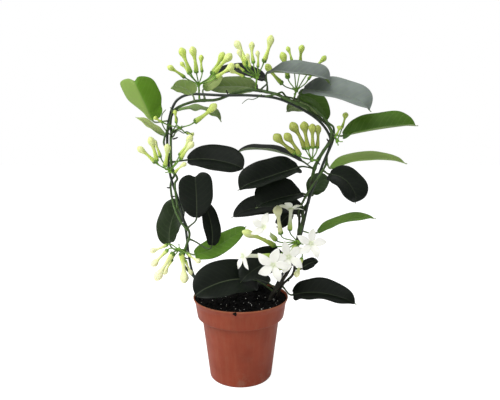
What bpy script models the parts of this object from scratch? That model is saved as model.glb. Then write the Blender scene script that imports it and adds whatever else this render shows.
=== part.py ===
"""Madagascar jasmine trained round a wire hoop, in a 12 cm nursery pot.

The frame is +Z up with the pot's axis on Z and its underside on z = 0. +X is to the right and -Y to the
front. Every size and place below is in millimetres, and MM turns it to Blender's metres. The stems, the
hoop and the plant's own shape are free forms, so their routes are lists of points chosen by hand; the pot,
the leaves, the buds and the flowers are worked out from a few sizes each.
"""
import math

import bmesh
import bpy
import numpy as np

MM = 0.001
GAP = 0.35  # clearance between pieces that touch on the real plant

# --- pot -----------------------------------------------------------------------------------------------
POT_HEIGHT = 104.0
WALL = 1.2
LIP_RADIUS = 60.0
LIP_EDGE = 1.0  # the height of the lip's upright edge
FLARE_Z = 96.0  # where the lip begins to flare out of the rim band
BAND_TOP_RADIUS = 57.2
BAND_FOOT_RADIUS = 54.8
BAND_FOOT_Z = 79.0
STEP_HEIGHT = 1.5  # the step from the band's foot in to the body
BODY_TOP_RADIUS = 49.0
BODY_FOOT_RADIUS = 39.5
FOOT_CORNER = 0.7  # the corner taken off the foot
FOOT_RING_WIDTH = 5.5
FLOOR_LIFT = 2.6  # the floor between the foot ring and the middle disc stands clear of the ground
FLOOR_SLOPE = 2.0  # how far in the floor's sloping steps run
MIDDLE_DISC_RADIUS = 16.0
DRAIN_HOLES = 6
DRAIN_RADIUS = 4.0
DRAIN_CIRCLE = 25.0
DRAIN_CUT_DEPTH = 20.0
MIX_Z = 102.0  # the mix is filled nearly to the lip
MIX_CROWN = 1.0  # how far the mix falls from its flat middle to the wall
ROUND_STEPS = 36
LEG_SIDES = 8  # of the holes that the wire and the stems leave in the mix
LEG_REACH = 14.0  # how far over the mix those holes are cut

# --- wire and stems ------------------------------------------------------------------------------------
WIRE_RADIUS = 1.6
SPACING = 8.0  # between the points along the wire and the stems
STEM_CLEARANCE = 2.5 * GAP  # between the centre lines' skins, more than the gap because both have flat sides
HOOP = [
    (-36, 5, 20), (-42, 4, 60), (-49, 1, 102), (-55, 1, 118), (-62, 2, 136), (-66, 2, 160),
    (-69, 1, 191), (-77, 0, 226), (-86, 0, 256), (-89, 0, 288), (-87, 0, 320), (-78, 0, 345),
    (-62, 0, 354), (-42, 0, 354), (-19, 0, 353), (11, 0, 353), (42, 0, 350), (68, 0, 340), (94, 0, 324),
    (108, 0, 306), (109, 0, 292), (103, 1, 275), (95, 2, 253), (86, 3, 229), (80, 3, 201), (74, 3, 175),
    (62, 1, 147), (49, -1, 125), (40, -3, 102), (36, -2, 60), (34, 0, 20),
]
# name: radius at the foot, radius at the tip, route from the foot to the tip
STEMS = {
    "vine_main": (2.5, 1.3, [
        (29, -10, 68), (37, -9, 102), (48, -8, 120), (60, -6, 138), (68, -4, 160), (73, -3, 181),
        (78, -2, 203), (84, 8, 219), (88, 8, 238), (90, 7, 258), (94, -2, 274), (102, -6, 289),
        (110, -6, 303), (106, 4, 319), (88, 6, 332), (72, -4, 341), (54, -5, 349), (33, 2, 357),
        (12, 5, 360), (-10, 4, 355), (-29, 5, 348), (-52, 5, 347), (-72, 5, 341), (-82, 5, 334),
        (-86, 5, 318), (-84, -4, 300), (-84, -5, 276), (-84, -2, 261), (-87, 5, 243), (-85, 5, 225),
        (-80, -1, 211), (-72, -6, 197), (-62, -8, 187),
    ]),
    "vine_second": (1.7, 1.1, [
        (44, 4, 72), (47, 3, 102), (54, -2, 120), (64, -6, 130), (68, -5, 142), (65, 6, 153),
        (67, 9, 163), (72, 9, 176), (74, 8, 193), (74, 4, 213), (80, -2, 230), (90, -4, 247),
        (100, -4, 262), (106, 5, 279), (112, 7, 293), (115, 5, 306), (106, -5, 320), (94, -2, 333),
        (80, 6, 345), (64, 6, 350), (43, -5, 353), (26, -7, 351),
    ]),
    "vine_left": (1.8, 1.2, [
        (-42, 9, 70), (-46, 8, 102), (-54, 8, 117), (-64, 8, 130), (-72, 2, 142), (-72, -4, 155),
        (-67, -6, 170), (-66, 4, 186), (-73, 7, 203), (-78, -5, 225), (-80, -5, 243), (-83, 5, 259),
        (-87, 6, 278), (-91, 0, 296), (-88, -5, 312), (-82, -5, 326),
    ]),
}

# --- leaves --------------------------------------------------------------------------------------------
STALK_RADIUS = 1.0
STALK_BEND = 0.4  # how far the stalk runs straight at each end, as a part of its span
STALK_STATIONS = (0.0, 0.3, 0.65)
LEAF_HALF_THICKNESS = 0.5
LEAF_STATIONS = (0.0, 0.08, 0.3, 0.6, 0.85, 0.97)
LEAF_SIDES = 8
FOLD_FROM = 0.15  # the part of the blade over which the fold opens
LEAF_POINT = 0.05  # the small sharp point past the blade's end, as a part of its length
# name: stem, base, middle and tip of the blade, width, the way its upper side faces, fold along the midrib
LEAVES = {
    "leaf_shoulder_left_large": (
        "vine_main", (-105, -8, 324), (-112, -22, 347), (-122, -26, 371), 53, (-0.05, -1, 0.25), -42),
    "leaf_shoulder_left_back": (
        "vine_main", (-97, 14, 306), (-112, 20, 317), (-130, 24, 329), 24, (0.3, -0.2, 0.95), 10),
    "leaf_crown_left_outer": (
        "vine_main", (-57, -12, 354), (-66, -22, 361), (-77, -32, 361), 30, (0, 0.45, 0.9), 10),
    "leaf_crown_left_upright": (
        "vine_main", (-44, 6, 361), (-34, 5, 368), (-22, 4, 376), 15, (0.2, -0.9, 0.35), 10),
    "leaf_crown_middle": (
        "vine_main", (17, 20, 364), (-6, 18, 366), (-40, 17, 364), 36, (0, 0.5, 0.85), 8),
    "leaf_crown_back": (
        "vine_main", (30, 26, 374), (-3, 36, 387), (-32, 40, 383), 34, (0, -0.5, 0.85), 15),
    "leaf_crown_left_wavy": (
        "vine_main", (-78, 16, 336), (-49, 18, 338), (-23, 14, 327), 28, (0, -0.25, 0.95), 10),
    "leaf_upper_left_inner": (
        "vine_main", (-66, 12, 275), (-32, 10, 275), (3, 0, 266), 43, (0, -0.78, 0.63), 24),
    "leaf_left_heart": (
        "vine_main", (-53, -14, 207), (-52, -22, 235), (-54, -20, 261), 42, (0, -1, 0.1), 14),
    "leaf_left_outer": (
        "vine_left", (-91, 12, 169), (-90, 22, 194), (-77, 26, 222), 42, (-0.5, -0.8, 0.1), 15),
    "leaf_left_behind": (
        "vine_left", (-35, -14, 172), (-36, -8, 196), (-46, 2, 226), 25, (0.6, -0.8, 0), 14),
    "leaf_left_low_inner": (
        "vine_left", (-57, -5, 158), (-30, 4, 166), (5, 12, 190), 30, (0.1, -0.6, 0.75), 12),
    "leaf_base_large": (
        "vine_main", (20, -14, 127), (-15, -32, 133), (-52, -50, 122), 56, (-0.1, -0.68, 0.74), 24),
    "leaf_base_front": (
        "vine_main", (54, -16, 153), (27, -24, 150), (1, -36, 134), 46, (-0.1, -0.62, 0.78), 24),
    "leaf_base_back": (
        "vine_second", (36, 24, 112), (22, 32, 114), (6, 38, 110), 26, (0, -0.4, 0.9), 10),
    "leaf_right_inner_top": (
        "vine_main", (76, 14, 274), (35, 24, 287), (-5, 28, 285), 34, (0, -0.13, 1), 22),
    "leaf_right_inner_upper": (
        "vine_main", (71, -4, 267), (36, -16, 257), (-1, -26, 245), 46, (-0.1, -0.7, 0.7), 36),
    "leaf_right_inner_dome": (
        "vine_second", (75, -6, 235), (47, -20, 231), (20, -30, 224), 52, (0, -0.62, 0.79), 38),
    "leaf_right_inner_back": (
        "vine_main", (79, 18, 210), (35, 24, 215), (-10, 20, 203), 40, (0, -0.6, 0.8), 20),
    "leaf_right_inner_small": (
        "vine_second", (66, 30, 207), (57, 34, 196), (46, 36, 185), 18, (0, -0.9, 0.3), 12),
    "leaf_crown_right": (
        "vine_main", (35, -6, 380), (69, -20, 376), (104, -26, 369), 42, (0, -0.5, 0.85), 30),
    "leaf_shoulder_right": (
        "vine_main", (75, -8, 359), (113, -22, 353), (151, -30, 338), 44, (0, -0.68, 0.73), 28),
    "leaf_shoulder_right_arched": (
        "vine_second", (72, 9, 353), (93, 13, 347), (109, 16, 325), 30, (0.3, -0.7, 0.6), 14),
    "leaf_shoulder_right_twin": (
        "vine_second", (98, 20, 329), (77, 31, 342), (58, 34, 337), 26, (0, 0.6, 0.8), 10),
    "leaf_far_right_top": (
        "vine_main", (124, -4, 305), (164, -14, 313), (205, -22, 318), 46, (0, -0.54, 0.84), 42),
    "leaf_far_right_middle": (
        "vine_second", (113, 8, 265), (156, 16, 275), (209, 22, 272), 42, (0, -0.22, 0.97), 20),
    "leaf_right_outer": (
        "vine_second", (108, -10, 259), (127, -22, 251), (138, -30, 228), 46, (0.3, -0.65, 0.65), 14),
    "leaf_right_back": (
        "vine_main", (92, 18, 231), (98, 24, 243), (114, 28, 251), 28, (0.2, -0.75, 0.6), 22),
    "leaf_far_right_low": (
        "vine_second", (98, 8, 184), (131, 6, 199), (167, 2, 204), 34, (0, -0.15, 1), 16),
    "leaf_tiny_low": (
        "vine_second", (76, -8, 141), (85, -10, 148), (95, -14, 152), 14, (0, -0.8, 0.6), 8),
    "leaf_base_right": (
        "vine_second", (66, -8, 107), (101, -16, 112), (140, -26, 103), 40, (0.1, -0.6, 0.8), 34),
}

# --- buds and flowers ----------------------------------------------------------------------------------
PEDUNCLE_RADIUS = 1.2
PEDICEL_RADIUS = 0.75
PEDICEL_ROOT = 1.0  # how far from the knob's middle its stalks begin
KNOB_RADIUS = 2.4  # the swelling that a cluster's stalks fan out from
BUD_LENGTH = 32.0  # the length at which a bud has the widths below
SMALLEST_BUD, LARGEST_BUD = 0.55, 1.1  # the limits of those widths' scale
# (part of the length, radius): calyx, neck, head
BUD_PROFILE = ((0.14, 2.8), (0.64, 1.6), (0.82, 4.0))
# name: stem, knob, then the foot and the tip of each bud
BUD_CLUSTERS = {
    "buds_crown_left": ("vine_main", (-50, 4, 366), [
        ((-58, -8, 378), (-69, -10, 407)), ((-51, -10, 378), (-55, -18, 407)),
        ((-65, -8, 373), (-84, -16, 385)), ((-62, 8, 379), (-73, 14, 394)),
        ((-46, 6, 381), (-47, 10, 402)), ((-34, -4, 377), (-19, -4, 403)),
        ((-31, -12, 376), (-9, -16, 399)), ((-29, -18, 371), (-6, -26, 386)),
    ]),
    "buds_crown_middle": ("vine_main", (20, -2, 374), [
        ((7, -12, 385), (-2, -16, 404)), ((8, 2, 390), (-6, 8, 418)), ((12, -16, 383), (8, -24, 398)),
        ((16, 4, 391), (14, 8, 417)), ((21, -14, 384), (20, -20, 402)), ((28, -4, 391), (37, -6, 422)),
        ((5, -8, 380), (-5, -14, 387)), ((5, -14, 373), (-12, -20, 380)),
    ]),
    "buds_crown_right": ("vine_main", (68, 6, 359), [
        ((51, 6, 367), (31, 8, 391)), ((58, 10, 374), (50, 14, 406)), ((63, 14, 394), (57, 18, 413)),
        ((74, 20, 391), (74, 2, 412)), ((87, 14, 385), (105, 18, 402)), ((84, 20, 374), (94, 26, 391)),
    ]),
    "buds_left_upper": ("vine_main", (-72, -6, 314), [
        ((-54, -12, 321), (-27, -18, 342)), ((-92, -14, 321), (-101, -18, 327)),
        ((-75, -16, 320), (-76, -20, 335)), ((-64, -8, 308), (-55, -12, 306)),
    ]),
    "buds_left_middle": ("vine_main", (-84, -14, 263), [
        ((-101, -14, 273), (-121, -20, 292)), ((-98, -22, 275), (-104, -30, 304)),
        ((-96, -8, 279), (-105, -8, 301)), ((-88, -26, 269), (-83, -34, 296)),
        ((-72, -16, 281), (-57, -18, 306)), ((-70, -24, 278), (-53, -32, 298)),
        ((-77, -24, 262), (-62, -32, 274)),
    ]),
    "buds_left_hanging": ("vine_left", (-75, -14, 167), [
        ((-89, -14, 173), (-111, -18, 165)), ((-88, -20, 168), (-107, -26, 149)),
        ((-80, -26, 166), (-101, -36, 134)), ((-71, -26, 166), (-67, -34, 130)),
        ((-64, -24, 164), (-47, -30, 155)), ((-67, -18, 154), (-59, -22, 137)),
        ((-84, -12, 154), (-95, -12, 134)),
    ]),
    "buds_right_upper": ("vine_main", (86, -12, 276), [
        ((66, -12, 284), (40, -16, 307)), ((71, -18, 282), (52, -24, 308)),
        ((78, -10, 289), (60, -12, 321)), ((81, -16, 289), (75, -18, 322)),
        ((86, -20, 290), (84, -26, 319)), ((92, -12, 290), (92, -12, 318)),
    ]),
    "buds_right_small": ("vine_second", (116, -10, 299), [
        ((114, -14, 305), (118, -16, 317)), ((122, -6, 314), (127, -4, 333)),
    ]),
}
CLUSTER_STEM = "vine_main"
CLUSTER_KNOB = (70, -12, 175)
CLUSTER_KNOB_RADIUS = 3.4
# name: foot and tip
CLUSTER_BUDS = {
    "opening_bud": ((50, -6, 184), (45, -12, 221)),
    "long_bud": ((42, -16, 172), (2, -30, 193)),
    "hanging_bud": ((74, -28, 160), (66, -36, 138)),
}
PETALS = 5
PETAL_VALLEY = 0.34  # where the petals part, as a part of the star's radius
PETAL_HALF_THICKNESS = 0.5
TUBE_RADIUS = 1.7
CALYX_RADIUS = 2.4
CALYX_AT, TUBE_END = 0.12, 0.85  # parts of the way from the foot to the star
# name: foot, middle of the star, the way it faces, radius, lift of the petals, turn of the first petal
FLOWERS = {
    "star_flower_top_left": ((43, -24, 181), (28, -39, 199), (-0.15, -0.85, 0.5), 19, 26, 75),
    "star_flower_top": ((61, -6, 189), (62, -8, 216), (0.1, 0.45, 0.9), 18, 15, 0),
    "star_flower_far_left": ((38, -31, 163), (4, -50, 168), (-0.8, -0.6, 0.1), 19, 10, 100),
    "star_flower_lower": ((50, -36, 150), (38, -62, 161), (-0.25, -0.95, -0.15), 22, 8, 72),
    "star_flower_front": ((66, -33, 177), (57, -44, 165), (0, -0.95, 0.3), 20, 8, 105),
    "star_flower_right": ((82, -24, 177), (83, -40, 180), (0.1, -0.9, 0.4), 19, 10, 75),
}

# --- colours (linear RGB), roughness -------------------------------------------------------------------
FINISHES = {
    "terracotta_plastic": ((0.27, 0.06, 0.03), 0.45),
    "potting_mix": ((0.012, 0.010, 0.009), 0.95),
    "wire_coating": ((0.02, 0.03, 0.02), 0.5),
    "stem_bark": ((0.03, 0.035, 0.02), 0.7),
    "leaf_mature": ((0.014, 0.026, 0.016), 0.4),
    "leaf_young": ((0.12, 0.22, 0.05), 0.45),
    "bud_skin": ((0.55, 0.62, 0.25), 0.5),
    "petal_wax": ((0.85, 0.86, 0.78), 0.5),
}
YOUNG_LEAVES = {
    "leaf_shoulder_left_large", "leaf_shoulder_left_back", "leaf_left_low_inner", "leaf_far_right_middle",
    "leaf_far_right_low", "leaf_crown_left_outer", "leaf_crown_middle",
}


# --- Blender helpers -----------------------------------------------------------------------------------
def clear_scene():
    for obj in list(bpy.data.objects):
        bpy.data.objects.remove(obj, do_unlink=True)


def finish(name):
    """The named finish as a Principled material, made once."""
    if name in bpy.data.materials:
        return bpy.data.materials[name]
    colour, roughness = FINISHES[name]
    material = bpy.data.materials.new(name)
    material.use_nodes = True
    shader = material.node_tree.nodes["Principled BSDF"]
    shader.inputs["Base Color"].default_value = (*colour, 1.0)
    shader.inputs["Roughness"].default_value = roughness
    shader.inputs["Metallic"].default_value = 0.0
    return material


def add_object(name, data, finish_name):
    obj = bpy.data.objects.new(name, data)
    data.materials.append(finish(finish_name))
    bpy.context.scene.collection.objects.link(obj)
    return obj


def hide_as_tool(obj):
    obj.hide_render = True
    obj.display_type = "WIRE"
    return obj


def cut(obj, cutter):
    """Take the cutter's space out of the object."""
    boolean = obj.modifiers.new("cut", "BOOLEAN")
    boolean.operation = "DIFFERENCE"
    boolean.solver = "EXACT"
    boolean.object = hide_as_tool(cutter)


def loft(rings, tip=None, thin=False):
    """A skin over rings of equal count. The first is capped, and the last is capped or drawn to a tip. With
    `thin`, each four-sided face is cut in two, the same way above and below the section, so the two sides of
    a thin twisted leaf can't pass through each other."""
    bm = bmesh.new()
    loops = [[bm.verts.new(point * MM) for point in ring] for ring in rings]
    count = len(loops[0])
    for near, far in zip(loops, loops[1:]):
        for i in range(count):
            j = (i + 1) % count
            if not thin:
                bm.faces.new((near[i], near[j], far[j], far[i]))
            elif i % (count // 2) < count // 4:
                bm.faces.new((near[i], near[j], far[i]))
                bm.faces.new((near[j], far[j], far[i]))
            else:
                bm.faces.new((near[i], near[j], far[j]))
                bm.faces.new((near[i], far[j], far[i]))
    bm.faces.new(loops[0][::-1])
    if tip is None:
        bm.faces.new(loops[-1])
    else:
        point = bm.verts.new(np.asarray(tip, float) * MM)
        for i in range(count):
            bm.faces.new((loops[-1][i], loops[-1][(i + 1) % count], point))
    bmesh.ops.recalc_face_normals(bm, faces=bm.faces)
    return bm


def mesh_from(name, bm, smooth=True):
    mesh = bpy.data.meshes.new(name)
    bm.to_mesh(mesh)
    bm.free()
    if smooth:
        mesh.shade_smooth()
    return mesh


# --- geometry helpers ----------------------------------------------------------------------------------
def unit(v):
    v = np.asarray(v, float)
    return v / np.linalg.norm(v)


def smooth_route(points, spacing):
    """Catmull-Rom curve through the points, read at even steps along its length."""
    p = np.asarray(points, float)
    p = np.vstack([2 * p[0] - p[1], p, 2 * p[-1] - p[-2]])
    t = np.linspace(0, 1, 10, endpoint=False)[:, None]
    curves = [2 * b + (c - a) * t + (2 * a - 5 * b + 4 * c - d) * t ** 2 + (3 * b - a - 3 * c + d) * t ** 3
              for a, b, c, d in zip(p, p[1:], p[2:], p[3:])]
    dense = np.vstack([0.5 * curve for curve in curves] + [p[-2][None]])
    length = np.concatenate([[0], np.cumsum(np.linalg.norm(np.diff(dense, axis=0), axis=1))])
    even = np.linspace(0, length[-1], max(2, round(length[-1] / spacing) + 1))
    return np.column_stack([np.interp(even, length, dense[:, k]) for k in range(3)])


def along_chords(line):
    """Points about a millimetre apart on the straight runs between a line's points."""
    lengths = np.linalg.norm(np.diff(line, axis=0), axis=1)
    runs = [np.linspace(a, b, max(2, int(length)), endpoint=False)
            for a, b, length in zip(line, line[1:], lengths)]
    return np.vstack(runs + [line[-1:]])


def push_clear(points, others):
    """A smooth route through the points, moved out wherever it comes nearer to another centre line than the
    distance that goes with it. Each round but the last ends by smoothing what was moved."""
    route = smooth_route(points, 1.0)
    half = 4
    blend = np.ones(2 * half + 1) / (2 * half + 1)
    for last in (False, False, True):
        for _ in range(6):
            for line, distance in others:
                away = route[:, None, :] - line[None, :, :]
                reach = np.linalg.norm(away, axis=2)
                nearest = reach.argmin(axis=1)
                rows = np.arange(len(route))
                close = reach[rows, nearest]
                push = np.clip(distance - close, 0, None) / np.maximum(close, 1e-6)
                route = route + away[rows, nearest] * push[:, None]
        if not last:
            padded = np.vstack([route[:1]] * half + [route] + [route[-1:]] * half)
            route = np.column_stack([np.convolve(padded[:, k], blend, "valid") for k in range(3)])
    return route


def nearest_on(line, point):
    """The nearest point of a centre line to a point, and the way from it to the point, square to the line."""
    point = np.asarray(point, float)
    i = int(np.linalg.norm(line - point, axis=1).argmin())
    along = unit(line[min(i + 1, len(line) - 1)] - line[max(i - 1, 0)])
    out = point - line[i]
    return i, line[i], unit(out - out.dot(along) * along)


def round_ring(centre, direction, radius, count=6):
    """Points round a circle square to the direction. The slanting reference is along no stalk or stem."""
    direction = unit(direction)
    side = unit(np.cross(direction, (0.31, 0.87, 0.38)))
    angle = 2 * math.pi * np.arange(count) / count
    circle = np.outer(np.cos(angle), side) + np.outer(np.sin(angle), np.cross(direction, side))
    return centre + circle * radius


# --- pot and mix ---------------------------------------------------------------------------------------
def pot_outside():
    """The outer outline from the lip down to the foot, as (radius, height)."""
    return [(LIP_RADIUS, POT_HEIGHT), (LIP_RADIUS, POT_HEIGHT - LIP_EDGE), (BAND_TOP_RADIUS, FLARE_Z),
            (BAND_FOOT_RADIUS, BAND_FOOT_Z + 1), (BAND_FOOT_RADIUS - 1, BAND_FOOT_Z),
            (BODY_TOP_RADIUS, BAND_FOOT_Z - STEP_HEIGHT), (BODY_FOOT_RADIUS + 0.3, 2.0),
            (BODY_FOOT_RADIUS - FOOT_CORNER, 0.0)]


def pot_inside():
    """The inner outline from the middle of the floor up to the lip."""
    ring_inner = BODY_FOOT_RADIUS - FOOT_RING_WIDTH
    floor, shift = FLOOR_LIFT + WALL, WALL / 2
    return [(0, WALL), (MIDDLE_DISC_RADIUS - shift, WALL), (MIDDLE_DISC_RADIUS + FLOOR_SLOPE - shift, floor),
            (ring_inner - FLOOR_SLOPE + shift, floor), (ring_inner + shift, WALL),
            (BODY_FOOT_RADIUS - WALL, 1.5 * WALL), (BODY_TOP_RADIUS - WALL, BAND_FOOT_Z - STEP_HEIGHT),
            (BODY_TOP_RADIUS - WALL + 0.2, BAND_FOOT_Z - 0.5), (BAND_FOOT_RADIUS - WALL, BAND_FOOT_Z + 1),
            (BAND_TOP_RADIUS - WALL, FLARE_Z), (LIP_RADIUS - WALL, POT_HEIGHT)]


def pot_underside():
    """The underside from the foot ring in to the middle disc."""
    ring_inner = BODY_FOOT_RADIUS - FOOT_RING_WIDTH
    return [(ring_inner, 0.0), (ring_inner - FLOOR_SLOPE, FLOOR_LIFT),
            (MIDDLE_DISC_RADIUS + FLOOR_SLOPE, FLOOR_LIFT), (MIDDLE_DISC_RADIUS, 0.0), (0, 0.0)]


def turned(name, outline, finish_name):
    """A solid turned from an outline that begins and ends on the axis and runs down its outer side."""
    mesh = bpy.data.meshes.new(name)
    verts = [(r * MM, 0.0, z * MM) for r, z in outline]
    mesh.from_pydata(verts, [(i, i + 1) for i in range(len(verts) - 1)], [])
    obj = add_object(name, mesh, finish_name)
    screw = obj.modifiers.new("turn", "SCREW")
    screw.steps = screw.render_steps = ROUND_STEPS
    screw.use_merge_vertices = True
    screw.merge_threshold = 0.00001
    screw.use_smooth_shade = True
    return obj


def drain_hole_cutter():
    """Upright rods in a circle, one for each hole."""
    bm = bmesh.new()
    for i in range(DRAIN_HOLES):
        angle = 2 * math.pi * i / DRAIN_HOLES
        x, y = DRAIN_CIRCLE * math.cos(angle), DRAIN_CIRCLE * math.sin(angle)
        made = bmesh.ops.create_cone(bm, cap_ends=True, segments=12, radius1=DRAIN_RADIUS * MM,
                                     radius2=DRAIN_RADIUS * MM, depth=DRAIN_CUT_DEPTH * MM)
        bmesh.ops.translate(bm, verts=made["verts"], vec=(x * MM, y * MM, FLOOR_LIFT * MM))
    return add_object("drain_hole_cutter", mesh_from("drain_hole_cutter", bm), "terracotta_plastic")


def build_pot():
    pot = turned("pot", pot_inside() + pot_outside() + pot_underside(), "terracotta_plastic")
    cut(pot, drain_hole_cutter())


def buried_runs(route):
    """The stretches of a route that are in the mix or just over it."""
    low = np.flatnonzero(route[:, 2] < MIX_Z + LEG_REACH)
    return [route[run] for run in np.split(low, np.flatnonzero(np.diff(low) > 1) + 1)]


def leg_space(routes):
    """The space that the wire's legs and the stems' feet take up in the mix, with clearance."""
    bm = bmesh.new()
    for route, radius in routes:
        reach = (radius + GAP) / math.cos(math.pi / LEG_SIDES)
        for run in buried_runs(route):
            if run[0, 2] > run[-1, 2]:
                run = run[::-1]
            run = np.vstack([run[0] - unit(run[1] - run[0]) * 2 * GAP, run])
            rings = [round_ring(place, along, reach, LEG_SIDES)
                     for place, along in zip(run, np.gradient(run, axis=0))]
            mesh = mesh_from("leg", loft(rings), smooth=False)
            bm.from_mesh(mesh)
            bpy.data.meshes.remove(mesh)
    return add_object("leg_space", mesh_from("leg_space", bm), "potting_mix")


def build_mix(routes):
    """The mix fills the pot from just over the floor to near the lip, with clearance to the wall."""
    floor_z = FLOOR_LIFT + WALL + GAP
    slope = (BODY_TOP_RADIUS - BODY_FOOT_RADIUS) / BAND_FOOT_Z
    flare = (LIP_RADIUS - BAND_TOP_RADIUS) / (POT_HEIGHT - FLARE_Z)
    edge = WALL + GAP
    top_radius = BAND_TOP_RADIUS - edge + flare * (MIX_Z - FLARE_Z)
    outline = [(0, MIX_Z), (top_radius * 0.6, MIX_Z), (top_radius - 0.4, MIX_Z - MIX_CROWN),
               (BAND_TOP_RADIUS - edge, FLARE_Z), (BAND_FOOT_RADIUS - edge, BAND_FOOT_Z + 1 + GAP),
               (BODY_TOP_RADIUS - edge, BAND_FOOT_Z - 0.5 + GAP),
               (BODY_TOP_RADIUS - edge, BAND_FOOT_Z - STEP_HEIGHT),
               (BODY_FOOT_RADIUS - edge + slope * floor_z, floor_z), (0, floor_z)]
    cut(turned("potting_mix", outline, "potting_mix"), leg_space(routes))


# --- wire and stems ------------------------------------------------------------------------------------
def tube(name, route, radii, finish_name):
    """A bar of six sides along the route as a curve with a bevel and filled ends."""
    curve = bpy.data.curves.new(name, "CURVE")
    curve.dimensions = "3D"
    curve.use_fill_caps = True
    curve.bevel_depth = MM
    curve.bevel_resolution = 1
    curve.resolution_u = 1
    spline = curve.splines.new("POLY")
    spline.points.add(len(route) - 1)
    for point, place, radius in zip(spline.points, route, radii):
        point.co = (*(place * MM), 1.0)
        point.radius = radius
    return add_object(name, curve, finish_name)


def build_wire_and_stems():
    """The hoop, then each stem pushed clear of what is already there. Returns the centre lines and radii."""
    hoop = smooth_route(HOOP, SPACING)
    tube("hoop_wire", hoop, [WIRE_RADIUS] * len(hoop), "wire_coating")
    lines = {"hoop_wire": (hoop, WIRE_RADIUS)}
    for name, (foot, tip, points) in STEMS.items():
        others = [(along_chords(line), radius + foot + STEM_CLEARANCE) for line, radius in lines.values()]
        route = smooth_route(push_clear(points, others)[::4], SPACING)
        tube(name, route, np.linspace(foot, tip, len(route)), "stem_bark")
        lines[name] = (route, foot)
    return lines


def stem_surface(lines, stem, target):
    """Where a stalk that leads to the target leaves the stem, and its direction there."""
    line, radius = lines[stem]
    fine = smooth_route(line, 2.0)
    _, point, out = nearest_on(fine, target)
    return point + out * (radius + GAP), out


# --- leaves --------------------------------------------------------------------------------------------
def blade_half_width(s, width):
    """Half the blade's width at the part s of its length: a long ellipse, broadest just past the middle."""
    return 0.5 * width * np.clip(1 - abs(2 * s ** 0.9 - 1) ** 2.4, 0, 1) ** 0.6


def leaf_section(centre, side, normal, half_width, half_height, fold):
    """Points round a section: a flat ellipse whose two sides fold up by the angle `fold`."""
    angle = math.pi - 2 * math.pi * np.arange(LEAF_SIDES) / LEAF_SIDES
    across, up = np.cos(angle), np.sin(angle)
    lift = np.abs(across) * half_width * math.sin(fold) + up * half_height
    return centre + np.outer(across * half_width * math.cos(fold), side) + np.outer(lift, normal)


def build_leaf(name, lines):
    """Stalk and blade in one skin. The midrib is a quadratic curve from base through middle to tip, and the
    stalk a cubic one from the stem to the base."""
    stem, base, middle, tip, width, facing, fold = LEAVES[name]
    base, middle, tip = (np.asarray(p, float) for p in (base, middle, tip))
    facing, fold = unit(facing), math.radians(fold)
    control = 2 * middle - (base + tip) / 2

    def midrib(s):
        return (1 - s) ** 2 * base + 2 * s * (1 - s) * control + s ** 2 * tip

    def direction(s):
        return unit((1 - s) * (control - base) + s * (tip - control))

    sections = []
    for s in LEAF_STATIONS:
        along = direction(s)
        side = unit(np.cross(along, facing))
        half = max(blade_half_width(s, width), STALK_RADIUS)
        fold_here = fold * min(1.0, s / FOLD_FROM)
        half_height = STALK_RADIUS if s == 0 else LEAF_HALF_THICKNESS
        sections.append(leaf_section(midrib(s), side, np.cross(side, along), half, half_height, fold_here))

    start, out = stem_surface(lines, stem, base)
    reach = STALK_BEND * np.linalg.norm(base - start)
    a, b, c, d = start, start + out * reach, base - direction(0) * reach, base
    side = unit(np.cross(direction(0), facing))
    stalk = []
    for t in STALK_STATIONS[::-1]:
        centre = (1 - t) ** 3 * a + 3 * t * (1 - t) ** 2 * b + 3 * t ** 2 * (1 - t) * c + t ** 3 * d
        along = unit((1 - t) ** 2 * (b - a) + 2 * t * (1 - t) * (c - b) + t ** 2 * (d - c))
        side = unit(side - side.dot(along) * along)
        stalk.append(leaf_section(centre, side, np.cross(side, along), STALK_RADIUS, STALK_RADIUS, 0.0))
    point = tip + direction(1) * LEAF_POINT * np.linalg.norm(tip - base)
    finish_name = "leaf_young" if name in YOUNG_LEAVES else "leaf_mature"
    add_object(name, mesh_from(name, loft(stalk[::-1] + sections, point, thin=True)), finish_name)


# --- buds and flowers ----------------------------------------------------------------------------------
def bud_skin(start, foot, tip):
    """Stalk, calyx, tube and pointed head of one bud in one skin of six sides."""
    start, foot, tip = (np.asarray(p, float) for p in (start, foot, tip))
    stalk, axis = unit(foot - start), unit(tip - foot)
    length = np.linalg.norm(tip - foot)
    size = np.clip(length / BUD_LENGTH, SMALLEST_BUD, LARGEST_BUD)
    rings = [round_ring(start, stalk, PEDICEL_RADIUS), round_ring(foot, stalk + axis, PEDICEL_RADIUS)]
    rings += [round_ring(foot + axis * length * part, axis, radius * size) for part, radius in BUD_PROFILE]
    return loft(rings, tip)


def knob(centre, radius):
    bm = bmesh.new()
    bmesh.ops.create_icosphere(bm, subdivisions=1, radius=radius * MM)
    bmesh.ops.translate(bm, verts=bm.verts, vec=np.asarray(centre, float) * MM)
    return bm


def united(name, skins, finish_name):
    """One solid from skins that run into each other at the knob, which is the first."""
    body = add_object(name, mesh_from(name, skins[0]), finish_name)
    rest = bmesh.new()
    for skin in skins[1:]:
        mesh = mesh_from("skin", skin)
        rest.from_mesh(mesh)
        bpy.data.meshes.remove(mesh)
    other = hide_as_tool(add_object(name + "_stalks", mesh_from(name + "_stalks", rest), finish_name))
    boolean = body.modifiers.new("join", "BOOLEAN")
    boolean.operation = "UNION"
    boolean.solver = "EXACT"
    boolean.use_self = True
    boolean.object = other
    return body


def peduncle(lines, stem, centre):
    """The stalk from the stem to the knob."""
    start, out = stem_surface(lines, stem, centre)
    middle = (start + centre) / 2 + out
    across = centre - start
    return loft([round_ring(start, out, PEDUNCLE_RADIUS), round_ring(middle, across, PEDUNCLE_RADIUS),
                 round_ring(centre, across, PEDUNCLE_RADIUS)])


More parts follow.
